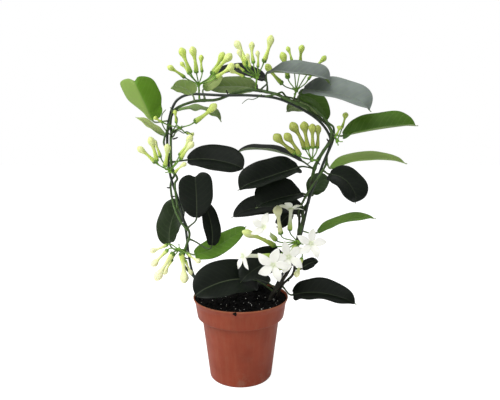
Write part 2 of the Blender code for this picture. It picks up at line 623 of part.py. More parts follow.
def build_bud_cluster(name, lines):
    stem, centre, buds = BUD_CLUSTERS[name]
    centre = np.asarray(centre, float)
    skins = [knob(centre, KNOB_RADIUS), peduncle(lines, stem, centre)]
    for foot, tip in buds:
        skins.append(bud_skin(centre + unit(np.subtract(foot, centre)) * PEDICEL_ROOT, foot, tip))
    united(name, skins, "bud_skin")


def stalk_start(foot):
    """Where a flower's own stalk begins, clear of the open cluster's knob."""
    centre = np.asarray(CLUSTER_KNOB, float)
    return centre + unit(np.subtract(foot, centre)) * (CLUSTER_KNOB_RADIUS + GAP)


def star(centre, facing, radius, lift, turn):
    """The star's back and its front as two rings of tips and valleys by turns, with its angles and axes."""
    facing = unit(facing)
    right = unit(np.cross((0, 0, 1), facing))
    up = np.cross(facing, right)
    angle = math.radians(turn) + math.pi * np.arange(2 * PETALS) / PETALS
    reach = np.where(np.arange(2 * PETALS) % 2 == 0, radius, radius * PETAL_VALLEY)
    flat = np.outer(np.cos(angle) * reach, right) + np.outer(np.sin(angle) * reach, up)
    raised = centre + flat * math.cos(lift) + np.outer(reach * math.sin(lift), facing)
    half = facing * PETAL_HALF_THICKNESS
    return raised - half, raised + half, angle, right, up


def build_flower(name):
    """Stalk, calyx, tube and five-pointed star in one skin of ten sides."""
    foot, centre, facing, radius, lift, turn = FLOWERS[name]
    foot, centre = np.asarray(foot, float), np.asarray(centre, float)
    back, front, angle, right, up = star(centre, facing, radius, math.radians(lift), turn)
    start = stalk_start(foot)

    def circle(place, along, r):
        """A ring whose points line up with the star's."""
        along = unit(along)
        x = unit(right - right.dot(along) * along)
        y = np.cross(along, x) * np.sign(np.dot(np.cross(along, x), up) or 1.0)
        return place + np.outer(np.cos(angle) * r, x) + np.outer(np.sin(angle) * r, y)

    axis = centre - foot
    rings = [circle(start, foot - start, PEDICEL_RADIUS), circle(foot, centre - start, PEDICEL_RADIUS),
             circle(foot + axis * CALYX_AT, axis, CALYX_RADIUS),
             circle(foot + axis * TUBE_END, axis + unit(facing), TUBE_RADIUS), back, front]
    throat = centre + unit(facing) * PETAL_HALF_THICKNESS
    add_object(name, mesh_from(name, loft(rings, throat), smooth=False), "petal_wax")


def build_open_cluster(lines):
    centre = np.asarray(CLUSTER_KNOB, float)
    skins = [knob(centre, CLUSTER_KNOB_RADIUS), peduncle(lines, CLUSTER_STEM, centre)]
    united("flower_cluster_stalk", skins, "bud_skin")
    for name in FLOWERS:
        build_flower(name)
    for name, (foot, tip) in CLUSTER_BUDS.items():
        skin = bud_skin(stalk_start(foot), foot, tip)
        add_object(name, mesh_from(name, skin), "petal_wax")


def main():
    clear_scene()
    build_pot()
    lines = build_wire_and_stems()
    build_mix(list(lines.values()))
    for name in LEAVES:
        build_leaf(name, lines)
    for name in BUD_CLUSTERS:
        build_bud_cluster(name, lines)
    build_open_cluster(lines)


main()
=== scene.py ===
"""Madagascar jasmine on a wire hoop in a nursery pot: the finished surfaces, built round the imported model.

Tables and shapes are in millimetres in the model's own frame: +Z up, the pot's axis on Z, its underside on
z = 0, +X to the right and -Y to the front. MM turns them to Blender's metres. The pot and the mix take their
sizes from the frame; the wire, stems, leaves, buds and flowers repeat the routes that the model was built on.
"""
import functools
import itertools
import math

import bpy
import numpy as np
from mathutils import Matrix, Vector


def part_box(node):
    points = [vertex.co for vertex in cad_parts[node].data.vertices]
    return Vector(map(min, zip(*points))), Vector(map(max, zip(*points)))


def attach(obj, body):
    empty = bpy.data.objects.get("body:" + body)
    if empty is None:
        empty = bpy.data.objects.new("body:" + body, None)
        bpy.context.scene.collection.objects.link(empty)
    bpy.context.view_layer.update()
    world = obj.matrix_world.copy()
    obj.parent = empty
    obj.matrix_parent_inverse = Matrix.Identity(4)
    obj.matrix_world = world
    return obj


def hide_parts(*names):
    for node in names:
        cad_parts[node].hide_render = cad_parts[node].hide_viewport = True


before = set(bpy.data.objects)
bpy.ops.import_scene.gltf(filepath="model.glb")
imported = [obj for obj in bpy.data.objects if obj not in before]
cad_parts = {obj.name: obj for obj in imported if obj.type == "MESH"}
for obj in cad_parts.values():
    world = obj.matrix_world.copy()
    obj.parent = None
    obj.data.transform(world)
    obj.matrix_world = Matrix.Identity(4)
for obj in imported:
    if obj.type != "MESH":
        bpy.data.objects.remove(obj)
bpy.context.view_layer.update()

bl_info = {
    "name": "Jasmine on a hoop",
    "version": (1, 0, 0),
    "blender": (4, 5, 0),
    "location": "View3D > Sidebar > Jasmine",
    "description": "A climbing jasmine trained round a wire hoop in a nursery pot",
    "category": "Add Mesh",
}

MM = 0.001
BODY = "root"
REFERENCE = (0.31, 0.87, 0.38)  # a ring of points starts square to this way and to its path
# seeds of the random draws; a leaf, a cluster and a flower take theirs from their names
SEEDS = {"wire": 5, "crumb_places": 21, "crumb_shapes": 22, "grain_places": 23, "grain_shapes": 24,
         "stubs": 40, "open_cluster": 61, "shoots": 77}

# --- wire and stems ------------------------------------------------------------------------------------
GAP = 0.35  # what the model leaves between two pieces that touch
WIRE_RADIUS = 1.6
SPACING = 8.0  # from one point of the model's centre lines to the next
STEM_CLEARANCE = 2.5 * GAP
HOOP = [
    (-36, 5, 20), (-42, 4, 60), (-49, 1, 102), (-55, 1, 118), (-62, 2, 136), (-66, 2, 160),
    (-69, 1, 191), (-77, 0, 226), (-86, 0, 256), (-89, 0, 288), (-87, 0, 320), (-78, 0, 345),
    (-62, 0, 354), (-42, 0, 354), (-19, 0, 353), (11, 0, 353), (42, 0, 350), (68, 0, 340), (94, 0, 324),
    (108, 0, 306), (109, 0, 292), (103, 1, 275), (95, 2, 253), (86, 3, 229), (80, 3, 201), (74, 3, 175),
    (62, 1, 147), (49, -1, 125), (40, -3, 102), (36, -2, 60), (34, 0, 20),
]
MAIN_STEM = "vine_main"  # it carries the open cluster and the loose shoots
# name: radius at the foot, radius at the tip, route from the foot to the tip
STEMS = {
    "vine_main": (2.5, 1.3, [
        (29, -10, 68), (37, -9, 102), (48, -8, 120), (60, -6, 138), (68, -4, 160), (73, -3, 181),
        (78, -2, 203), (84, 8, 219), (88, 8, 238), (90, 7, 258), (94, -2, 274), (102, -6, 289),
        (110, -6, 303), (106, 4, 319), (88, 6, 332), (72, -4, 341), (54, -5, 349), (33, 2, 357),
        (12, 5, 360), (-10, 4, 355), (-29, 5, 348), (-52, 5, 347), (-72, 5, 341), (-82, 5, 334),
        (-86, 5, 318), (-84, -4, 300), (-84, -5, 276), (-84, -2, 261), (-87, 5, 243), (-85, 5, 225),
        (-80, -1, 211), (-72, -6, 197), (-62, -8, 187),
    ]),
    "vine_second": (1.7, 1.1, [
        (44, 4, 72), (47, 3, 102), (54, -2, 120), (64, -6, 130), (68, -5, 142), (65, 6, 153),
        (67, 9, 163), (72, 9, 176), (74, 8, 193), (74, 4, 213), (80, -2, 230), (90, -4, 247),
        (100, -4, 262), (106, 5, 279), (112, 7, 293), (115, 5, 306), (106, -5, 320), (94, -2, 333),
        (80, 6, 345), (64, 6, 350), (43, -5, 353), (26, -7, 351),
    ]),
    "vine_left": (1.8, 1.2, [
        (-42, 9, 70), (-46, 8, 102), (-54, 8, 117), (-64, 8, 130), (-72, 2, 142), (-72, -4, 155),
        (-67, -6, 170), (-66, 4, 186), (-73, 7, 203), (-78, -5, 225), (-80, -5, 243), (-83, 5, 259),
        (-87, 6, 278), (-91, 0, 296), (-88, -5, 312), (-82, -5, 326),
    ]),
}

# --- leaves --------------------------------------------------------------------------------------------
# name: stem, base, middle and tip of the blade, width, the way its upper side faces, fold along the midrib,
# and what sets it apart: youth from 0 (dark and old) to 1 (young), broad (above 1 is broadest past the
# middle), blunt (from a pointed end at 0 to a square one at 1), notch (how far the tip lies behind its two
# lobes), lean (how much nearer the tip one half is broadest than the other), hook (how far the tip hangs),
# wave of the margin, rib (how clear the midrib is), the painted sheen (a grey film laid on the topmost leaves
# for the light that they reflect), pale (how yellow-green it has stayed) and the painted light on the left
# half (how much paler that half is painted, for the light that falls on it from the left)
LEAVES = {
    # its left half is painted paler for the light that falls on it from the left
    "leaf_shoulder_left_large": (
        "vine_main", (-105, -8, 324), (-112, -22, 347), (-122, -26, 371), 53, (-0.05, -1, 0.25), -42,
        {"youth": 1.0, "broad": 1.35, "blunt": 0.9, "lean": 0.4, "notch": 4, "wave": 0.3, "left_pale": 0.38}),
    "leaf_shoulder_left_back": (
        "vine_main", (-97, 14, 306), (-112, 20, 317), (-130, 24, 329), 24, (0.3, -0.2, 0.95), 10,
        {"youth": 0.9, "pale": 0.95}),
    "leaf_crown_left_outer": (
        "vine_main", (-57, -12, 354), (-66, -22, 361), (-77, -32, 361), 30, (0, 0.45, 0.9), 10,
        {"youth": 0.85}),
    "leaf_crown_left_upright": (
        "vine_main", (-44, 6, 361), (-34, 5, 368), (-22, 4, 376), 15, (0.2, -0.9, 0.35), 10,
        {"youth": 0.9, "pale": 0.85, "bloom": 0.1}),
    "leaf_crown_middle": (
        "vine_main", (17, 20, 364), (-6, 18, 366), (-40, 17, 364), 36, (0, 0.5, 0.85), 8,
        {"youth": 0.5}),
    "leaf_crown_back": (
        "vine_main", (30, 26, 374), (-3, 36, 387), (-32, 40, 383), 34, (0, -0.5, 0.85), 15, {}),
    "leaf_crown_left_wavy": (
        "vine_main", (-78, 16, 336), (-49, 18, 338), (-23, 14, 327), 28, (0, -0.25, 0.95), 10,
        {"youth": 0.6, "hook": 5, "wave": 2.0, "pale": 0.3, "bloom": 0.15}),
    "leaf_upper_left_inner": (
        "vine_main", (-66, 12, 275), (-32, 10, 275), (3, 0, 266), 43, (0, -0.78, 0.63), 24,
        {"broad": 1.1, "blunt": 0.6}),
    "leaf_left_heart": (
        "vine_main", (-53, -14, 207), (-52, -22, 235), (-54, -20, 261), 42, (0, -1, 0.1), 14,
        {"broad": 1.2, "blunt": 0.75, "lean": -0.1, "notch": 4}),
    "leaf_left_outer": (
        "vine_left", (-91, 12, 169), (-90, 22, 194), (-77, 26, 222), 42, (-0.5, -0.8, 0.1), 15,
        {"youth": 0.06, "blunt": 0.5}),
    "leaf_left_behind": (
        "vine_left", (-35, -14, 172), (-36, -8, 196), (-46, 2, 226), 25, (0.6, -0.8, 0), 14, {}),
    "leaf_left_low_inner": (
        "vine_left", (-57, -5, 158), (-30, 4, 166), (5, 12, 190), 30, (0.1, -0.6, 0.75), 12,
        {"youth": 0.75}),
    "leaf_base_large": (
        "vine_main", (20, -14, 127), (-15, -32, 133), (-52, -50, 122), 56, (-0.1, -0.68, 0.74), 24,
        {"blunt": 0.5, "rib": 0.35}),
    "leaf_base_front": (
        "vine_main", (54, -16, 153), (27, -24, 150), (1, -36, 134), 46, (-0.1, -0.62, 0.78), 24,
        {"broad": 0.8}),
    "leaf_base_back": (
        "vine_second", (36, 24, 112), (22, 32, 114), (6, 38, 110), 26, (0, -0.4, 0.9), 10, {}),
    "leaf_right_inner_top": (
        "vine_main", (76, 14, 274), (35, 24, 287), (-5, 28, 285), 34, (0, -0.13, 1), 22, {}),
    "leaf_right_inner_upper": (
        "vine_main", (71, -4, 267), (36, -16, 257), (-1, -26, 245), 46, (-0.1, -0.7, 0.7), 36,
        {"blunt": 0.8, "hook": 5}),
    "leaf_right_inner_dome": (
        "vine_second", (75, -6, 235), (47, -20, 231), (20, -30, 224), 52, (0, -0.62, 0.79), 38,
        {"blunt": 0.9, "hook": 4}),
    "leaf_right_inner_back": (
        "vine_main", (79, 18, 210), (35, 24, 215), (-10, 20, 203), 40, (0, -0.6, 0.8), 20, {}),
    "leaf_right_inner_small": (
        "vine_second", (66, 30, 207), (57, 34, 196), (46, 36, 185), 18, (0, -0.9, 0.3), 12, {}),
    "leaf_crown_right": (
        "vine_main", (35, -6, 380), (69, -20, 376), (104, -26, 369), 42, (0, -0.5, 0.85), 30,
        {"blunt": 0.9, "hook": 6, "bloom": 0.68}),
    "leaf_shoulder_right": (
        "vine_main", (75, -8, 359), (113, -22, 353), (151, -30, 338), 44, (0, -0.68, 0.73), 28,
        {"blunt": 0.8, "hook": 7, "bloom": 0.85, "rib": 0.35}),
    "leaf_shoulder_right_arched": (
        "vine_second", (72, 9, 353), (93, 13, 347), (109, 16, 325), 30, (0.3, -0.7, 0.6), 14,
        {"youth": 0.45}),
    "leaf_shoulder_right_twin": (
        "vine_second", (98, 20, 329), (77, 31, 342), (58, 34, 337), 26, (0, 0.6, 0.8), 10,
        {"youth": 0.3}),
    "leaf_far_right_top": (
        "vine_main", (124, -4, 305), (164, -14, 313), (205, -22, 318), 46, (0, -0.54, 0.84), 42,
        {"youth": 0.55, "blunt": 0.4}),
    "leaf_far_right_middle": (
        "vine_second", (113, 8, 265), (156, 16, 275), (209, 22, 272), 42, (0, -0.22, 0.97), 20,
        {"youth": 1.0, "broad": 1.1, "blunt": 0.4, "pale": 0.45}),
    "leaf_right_outer": (
        "vine_second", (108, -10, 259), (127, -22, 251), (138, -30, 228), 46, (0.3, -0.65, 0.65), 14,
        {"blunt": 0.6, "hook": 4}),
    "leaf_right_back": (
        "vine_main", (92, 18, 231), (98, 24, 243), (114, 28, 251), 28, (0.2, -0.75, 0.6), 22,
        {"youth": 0.2, "bloom": 0.12}),
    "leaf_far_right_low": (
        "vine_second", (98, 8, 184), (131, 6, 199), (167, 2, 204), 34, (0, -0.15, 1), 16,
        {"youth": 0.85, "pale": 0.1}),
    "leaf_tiny_low": (
        "vine_second", (76, -8, 141), (85, -10, 148), (95, -14, 152), 14, (0, -0.8, 0.6), 8, {}),
    "leaf_base_right": (
        "vine_second", (66, -8, 107), (101, -16, 112), (140, -26, 103), 40, (0.1, -0.6, 0.8), 34,
        {"wave": 1.6}),
}
LEAF_DEFAULTS = {"youth": 0.0, "broad": 0.9, "blunt": 0.15, "notch": 0.0, "lean": 0.0, "hook": 2.0,
                 "wave": 0.6, "rib": 0.15, "bloom": 0.0, "pale": 0.0, "left_pale": 0.0}
VEIN_SLANT, VEIN_BEND = 0.55, 0.012  # a side vein runs forward by across (slant + bend across), in mm

# --- buds and flowers ----------------------------------------------------------------------------------
# name: stem, knob, then the foot and the tip of each bud
BUD_CLUSTERS = {
    "buds_crown_left": ("vine_main", (-50, 4, 366), [
        ((-58, -8, 378), (-69, -10, 407)), ((-51, -10, 378), (-55, -18, 407)),
        ((-65, -8, 373), (-84, -16, 385)), ((-62, 8, 379), (-73, 14, 394)),
        ((-46, 6, 381), (-47, 10, 402)), ((-34, -4, 377), (-19, -4, 403)),
        ((-31, -12, 376), (-9, -16, 399)), ((-29, -18, 371), (-6, -26, 386)),
    ]),
    "buds_crown_middle": ("vine_main", (20, -2, 374), [
        ((7, -12, 385), (-2, -16, 404)), ((8, 2, 390), (-6, 8, 418)), ((12, -16, 383), (8, -24, 398)),
        ((16, 4, 391), (14, 8, 417)), ((21, -14, 384), (20, -20, 402)), ((28, -4, 391), (37, -6, 422)),
        ((5, -8, 380), (-5, -14, 387)), ((5, -14, 373), (-12, -20, 380)),
    ]),
    "buds_crown_right": ("vine_main", (68, 6, 359), [
        ((51, 6, 367), (31, 8, 391)), ((58, 10, 374), (50, 14, 406)), ((63, 14, 394), (57, 18, 413)),
        ((74, 20, 391), (74, 2, 412)), ((87, 14, 385), (105, 18, 402)), ((84, 20, 374), (94, 26, 391)),
    ]),
    "buds_left_upper": ("vine_main", (-72, -6, 314), [
        ((-54, -12, 321), (-27, -18, 342)), ((-92, -14, 321), (-101, -18, 327)),
        ((-75, -16, 320), (-76, -20, 335)), ((-64, -8, 308), (-55, -12, 306)),
    ]),
    "buds_left_middle": ("vine_main", (-84, -14, 263), [
        ((-101, -14, 273), (-121, -20, 292)), ((-98, -22, 275), (-104, -30, 304)),
        ((-96, -8, 279), (-105, -8, 301)), ((-88, -26, 269), (-83, -34, 296)),
        ((-72, -16, 281), (-57, -18, 306)), ((-70, -24, 278), (-53, -32, 298)),
        ((-77, -24, 262), (-62, -32, 274)),
    ]),
    "buds_left_hanging": ("vine_left", (-75, -14, 167), [
        ((-89, -14, 173), (-111, -18, 165)), ((-88, -20, 168), (-107, -26, 149)),
        ((-80, -26, 166), (-101, -36, 134)), ((-71, -26, 166), (-67, -34, 130)),
        ((-64, -24, 164), (-47, -30, 155)), ((-67, -18, 154), (-59, -22, 137)),
        ((-84, -12, 154), (-95, -12, 134)),
    ]),
    "buds_right_upper": ("vine_main", (86, -12, 276), [
        ((66, -12, 284), (40, -16, 307)), ((71, -18, 282), (52, -24, 308)),
        ((78, -10, 289), (60, -12, 321)), ((81, -16, 289), (75, -18, 322)),
        ((86, -20, 290), (84, -26, 319)), ((92, -12, 290), (92, -12, 318)),
    ]),
    "buds_right_small": ("vine_second", (116, -10, 299), [
        ((114, -14, 305), (118, -16, 317)), ((122, -6, 314), (127, -4, 333)),
    ]),
}
# how ripe each cluster is, from 0 (yellow-green) to 1 (nearly white), and how full its heads are
BUD_LOOKS = {
    "buds_crown_left": (0.45, 1.05), "buds_crown_middle": (0.6, 1.0), "buds_crown_right": (0.25, 1.0),
    "buds_left_upper": (0.45, 0.95), "buds_left_middle": (0.6, 1.0), "buds_left_hanging": (0.85, 1.12),
    "buds_right_upper": (0.15, 1.15), "buds_right_small": (0.4, 1.35),
}
DULLED_CLUSTER, DULLED_BY = "buds_right_upper", 0.6  # the one whose buds have hung long
# the open cluster's knob
CLUSTER_KNOB = (70, -12, 175)
CLUSTER_KNOB_RADIUS = 3.4
# name: foot, tip, ripeness and fullness of the head
CLUSTER_BUDS = {
    "opening_bud": ((50, -6, 184), (45, -12, 221), 1.0, 1.2),
    "long_bud": ((42, -16, 172), (2, -30, 193), 0.65, 1.0),
    "hanging_bud": ((74, -28, 160), (66, -36, 138), 0.8, 1.05),
}
# name: foot, middle of the star, the way it faces, radius, lift of the petals, turn of the first petal
FLOWERS = {
    "star_flower_top_left": ((43, -24, 181), (28, -39, 199), (-0.15, -0.85, 0.5), 19, 26, 75),
    "star_flower_top": ((61, -6, 189), (62, -8, 216), (0.1, 0.45, 0.9), 18, 15, 0),
    "star_flower_far_left": ((38, -31, 163), (4, -50, 168), (-0.8, -0.6, 0.1), 19, 10, 100),
    "star_flower_lower": ((50, -36, 150), (38, -62, 161), (-0.25, -0.95, -0.15), 22, 8, 72),
    "star_flower_front": ((66, -33, 177), (57, -44, 165), (0, -0.95, 0.3), 20, 8, 105),
    "star_flower_right": ((82, -24, 177), (83, -40, 180), (0.1, -0.9, 0.4), 19, 10, 75),
}


# --- settings that a user would change -----------------------------------------------------------------
def linear(code):
    """An sRGB hex colour as linear RGB: a part c over 0.04045 becomes ((c + 0.055) / 1.055) ** 2.4."""
    parts = np.array([int(code[i:i + 2], 16) for i in (1, 3, 5)]) / 255
    return tuple(float(c) for c in np.where(parts > 0.04045, ((parts + 0.055) / 1.055) ** 2.4, parts / 12.92))


def tint(name, code, description):
    """A colour that a user can change, from its sRGB hex value."""
    return bpy.props.FloatVectorProperty(
        name=name, description=description, subtype="COLOR", size=3, min=0, max=1, default=linear(code))


def length(name, millimetres, description):
    """A length that a user can change, from its size in millimetres."""
    return bpy.props.FloatProperty(
        name=name, description=description, subtype="DISTANCE", unit="LENGTH", min=0,
        default=millimetres * MM)


def strength(name, value, description):
    """A plain number from 0 up that a user can change."""
    return bpy.props.FloatProperty(name=name, description=description, min=0, default=value)


def number(name, count, description, least=1):
    """A whole number that a user can change."""
    return bpy.props.IntProperty(name=name, description=description, min=least, default=count)


class JasminePot(bpy.types.PropertyGroup):
    plastic: tint("Plastic", "#8E3A1E", "Terracotta-coloured polypropylene")
    plastic_dark: tint("Plastic, darker", "#823319", "The darker of its mottles")
    plastic_worn: tint("Plastic, rubbed", "#A56B4A", "The lip's edge and the flow streaks")
    dust: tint("Dust", "#8E7763", "Dried mix on the wall")
    mix_dark: tint("Mix", "#060606", "Damp peat")
    mix_brown: tint("Mix, drier", "#0E0C0C", "Dry patches of the peat")
    mix_fibre: tint("Fibres", "#241B14", "Fibres and bark fines")
    perlite: tint("Perlite", "#E4E4E0", "Clean perlite")
    perlite_stained: tint("Perlite, stained", "#8F8A82", "Perlite that the mix has stained")
    wire: tint("Wire", "#243126", "The vinyl on the hoop's wire")
    wire_dark: tint("Wire, darker", "#161E17", "The thicker runs of the vinyl")
    segments: number("Segments", 144, "Sides of the turned pot", 24)
    crumbs: number("Crumbs", 700, "Loose crumbs on the mix")
    grains: number("Perlite grains", 70, "White grains on the mix")


class JasminePlant(bpy.types.PropertyGroup):
    leaf_thickness: length("Leaf thickness", 0.7, "Thickness of a blade between its veins")
    stalk_radius: length("Leaf stalk radius", 1.0, "Radius of a leaf's stalk")
    vein_spacing: length("Vein spacing", 7.0, "From one side vein to the next")
    leaf_dark: tint("Old leaf", "#0D130D", "The upper side of an old leaf")
    leaf_dark_patch: tint("Old leaf, patches", "#131A12", "Slightly paler patches on it")
    leaf_young: tint("Young leaf", "#56811E", "The upper side of a young leaf")
    leaf_young_patch: tint("Young leaf, patches", "#67922C", "Slightly paler patches on it")
    # also the colour of the painted light on a leaf's left half
    leaf_pale: tint("Palest leaf", "#AABA70", "The yellow-green of the palest young leaves")
    vein_young: tint("Young leaf's veins", "#7A9F42", "Side veins of a young leaf")
    midrib: tint("Midrib", "#8E9E78", "The midrib on both sides")
    under_dark: tint("Under side, old", "#687D48", "The under side of an old leaf")
    under_patch: tint("Under side, old, patches", "#232D21", "Darker patches on it")
    under_young: tint("Under side, young", "#97AD62", "The under side of a young leaf")
    stalk_dark: tint("Leaf stalk", "#3E4F2C", "The stalk of an old leaf")
    bark_dark: tint("Bark", "#27241C", "Bark at the foot of the stems")
    bark_pale: tint("Bark, cracks", "#4E4A40", "The pale cork in its cracks")
    stem_green: tint("Young stem", "#46632A", "The green of a young stem")
    # painted sheen: the grey laid on the topmost leaves for the light that they reflect
    bloom: tint("Wax bloom", "#8C9690", "The grey film on the topmost leaves")
    bud_green: tint("Bud, green", "#92AE44", "A bud that is still filling")
    bud_yellow: tint("Bud, yellow-green", "#C6D86C", "A bud nearly ripe")
    bud_ivory: tint("Bud, ivory", "#F8F8C8", "A bud about to open")
    bud_dull: tint("Bud, dulled", "#98984C", "A bud that has hung long")
    petal: tint("Petal", "#F6F6EC", "The open flower")
    petal_shade: tint("Petal ribs", "#E8E9DA", "The ribs along the petals")
    throat: tint("Throat", "#B4CC66", "The throat and the outside of the tube")
    calyx: tint("Calyx", "#7AA53C", "Calyces and fine stalks")
    calyx_dark: tint("Calyx, darker", "#466427", "Their browner spots")


class JasmineStage(bpy.types.PropertyGroup):
    floor: tint("Floor", "#F2F2F2", "The pale floor")
    floor_glow: strength("Floor glow", 0.82, "Light that the floor shows the camera")
    sky_top: strength("Light from above", 0.9, "Strength of the room's light from above")
    sky_back: strength("Light from behind", 0.15, "Strength of the room's light from behind")
    sky_front: strength("Light from the front", 0.3, "Strength of the room's light from the front")
    lamp_power: strength("Front lamp", 7.5, "Power of the soft lamp at the front, in watts")
    left_power: strength("Left lamp", 9.0, "Power of the soft lamp high at the left, in watts")


# --- curves and surfaces -------------------------------------------------------------------------------
def unit(v):
    """A vector, or each row of vectors, at length 1."""
    v = np.asarray(v, float)
    return v / np.linalg.norm(v, axis=-1, keepdims=True)


def ease(low, high, x):
    """0 up to low, 1 from high on, and 3t^2 - 2t^3 between them, where t is the part of the way."""
    t = np.clip((np.asarray(x, float) - low) / (high - low), 0, 1)
    return t * t * (3 - 2 * t)


def peak(x, middle, spread):
    """exp(-((x - middle) / spread)^2)."""
    return np.exp(-((np.asarray(x, float) - middle) / spread) ** 2)


def angles_round(sides):
    """Even angles round a circle, from 0."""
    return 2 * math.pi * np.arange(sides) / sides


def seed_of(name):
    """A seed from a name: the sum of its letters' numbers."""
    return sum(map(ord, name))


def wobble(points, step, seed):
    """Smooth noise from -1 to 1: random values on a lattice of that step, blended by 3t^2 - 2t^3 on each
    axis."""
    values = np.random.default_rng(seed).uniform(-1, 1, (16, 16, 16))
    scaled = np.asarray(points, float) / step
    cell = np.floor(scaled).astype(int)
    near = ease(0, 1, scaled - cell)
    total = np.zeros(scaled.shape[:-1])
    for corner in itertools.product((0, 1), repeat=3):
        weight = np.prod(np.where(np.array(corner) == 1, near, 1 - near), axis=-1)
        x, y, z = np.moveaxis((cell + corner) % 16, -1, 0)
        total += weight * values[x, y, z]
    return total


def smooth_route(points, spacing):
    """Catmull-Rom curve through the points, read at even steps along its length. Between b and c it is half
    of 2b + (c - a)t + (2a - 5b + 4c - d)t^2 + (3b - a - 3c + d)t^3, where a and d are the points before and
    after."""
    p = np.asarray(points, float)
    p = np.vstack([2 * p[0] - p[1], p, 2 * p[-1] - p[-2]])
    t = np.linspace(0, 1, 10, endpoint=False)[None, :, None]
    a, b, c, d = (p[k:len(p) - 3 + k, None] for k in range(4))
    dense = 0.5 * (2 * b + (c - a) * t + (2 * a - 5 * b + 4 * c - d) * t ** 2
                   + (3 * b - a - 3 * c + d) * t ** 3)
    dense = np.vstack([dense.reshape(-1, 3), p[-2:-1]])
    length = np.concatenate([[0], np.cumsum(np.linalg.norm(np.diff(dense, axis=0), axis=1))])
    even = np.linspace(0, length[-1], max(2, round(length[-1] / spacing) + 1))
    return np.column_stack([np.interp(even, length, dense[:, k]) for k in range(3)])


def through(pairs, at):
    """A Catmull-Rom curve through (place, value) pairs, read at other places."""
    line = smooth_route([(place, value, 0) for place, value in pairs], 0.02)
    return np.interp(at, line[:, 0], line[:, 1])


def along_chords(line):
    """Points about a millimetre apart on the straight runs between a line's points."""
    lengths = np.linalg.norm(np.diff(line, axis=0), axis=1)
    runs = [np.linspace(a, b, max(2, int(length)), endpoint=False)
            for a, b, length in zip(line, line[1:], lengths)]
    return np.vstack(runs + [line[-1:]])


def push_clear(points, others):
    """A smooth route through the points, moved out wherever it comes nearer to another centre line than the
    distance that goes with it. Each round but the last ends by smoothing what was moved: a place becomes the
    mean of itself and four on each side."""
    route = smooth_route(points, 1.0)
    half = 4
    blend = np.ones(2 * half + 1) / (2 * half + 1)
    for last in (False, False, True):
        for _ in range(6):
            for line, distance in others:
                away = route[:, None, :] - line[None, :, :]
                reach = np.linalg.norm(away, axis=2)
                nearest = reach.argmin(axis=1)
                rows = np.arange(len(route))
                close = reach[rows, nearest]
                push = np.clip(distance - close, 0, None) / np.maximum(close, 1e-6)
                route = route + away[rows, nearest] * push[:, None]
        if not last:
            padded = np.vstack([route[:1]] * half + [route] + [route[-1:]] * half)
            route = np.column_stack([np.convolve(padded[:, k], blend, "valid") for k in range(3)])
    return route


def hoop_and_stem_lines():
    """The wire's centre line and each stem's, with their radii, as the model was built: every stem is pushed
    clear of the wire and of the stems before it."""
    hoop = smooth_route(HOOP, SPACING)
    lines = {"hoop_wire": (hoop, WIRE_RADIUS)}
    for name, (foot, _, points) in STEMS.items():
        others = [(along_chords(line), radius + foot + STEM_CLEARANCE) for line, radius in lines.values()]
        lines[name] = (smooth_route(push_clear(points, others)[::4], SPACING), foot)
    return lines


def nearest_on(line, point):
    """The nearest place of a centre line to a point, and the way from it to the point, square to the line."""
    point = np.asarray(point, float)
    i = int(np.linalg.norm(line - point, axis=1).argmin())
    along = unit(line[min(i + 1, len(line) - 1)] - line[max(i - 1, 0)])
    out = point - line[i]
    return i, line[i], unit(out - out.dot(along) * along)


def stem_skin(lines, stem, target, sunk):
    """Where a stalk towards the target leaves the stem's skin, this deep in it, and its direction there."""
    line, radius = lines[stem]
    _, point, out = nearest_on(smooth_route(line, 2.0), target)
    return point + out * (radius + GAP - sunk), out


def bent(start, out, end, into, t, bend=0.4):
    """A cubic curve from start, which it leaves along out, to end, where it arrives along into, read at t:
    (1-t)^3 a + 3t(1-t)^2 b + 3t^2(1-t) c + t^3 d. Returns its places and its ways along."""
    reach = bend * np.linalg.norm(end - start)
    a, b, c, d = start, start + unit(out) * reach, end - unit(into) * reach, end
    t = np.asarray(t, float)[:, None]
    places = (1 - t) ** 3 * a + 3 * t * (1 - t) ** 2 * b + 3 * t ** 2 * (1 - t) * c + t ** 3 * d
    return places, unit((1 - t) ** 2 * (b - a) + 2 * t * (1 - t) * (c - b) + t ** 2 * (d - c))


def square_to(along, reference):
    """Two ways square to each other and to each way along: along x reference, and that x along."""
    side = unit(np.cross(along, reference))
    return side, np.cross(side, along)


def swept(places, side, normal, across, up):
    """A section carried along a path: place + across * side + up * normal, one row for each place."""
    return places[:, None] + across[..., None] * side[:, None] + up[..., None] * normal[:, None]


def turned(places, along, radii, sides):
    """Rings square to the ways along. A radius is one for each place, or one for each place and angle."""
    angle = angles_round(sides)
    radii = np.asarray(radii, float)
    radii = radii[:, None] if radii.ndim == 1 else radii
    side, normal = square_to(along, REFERENCE)
    return swept(places, side, normal, radii * np.cos(angle), radii * np.sin(angle))


def spun(radii, heights, sides):
    """Rings round the Z axis, one for each radius and height: x = radius cos(angle), y = radius
    sin(angle)."""
    angle = angles_round(sides)
    x, y = np.outer(radii, np.cos(angle)), np.outer(radii, np.sin(angle))
    return np.stack(np.broadcast_arrays(x, y, np.reshape(heights, (-1, 1))), axis=-1)


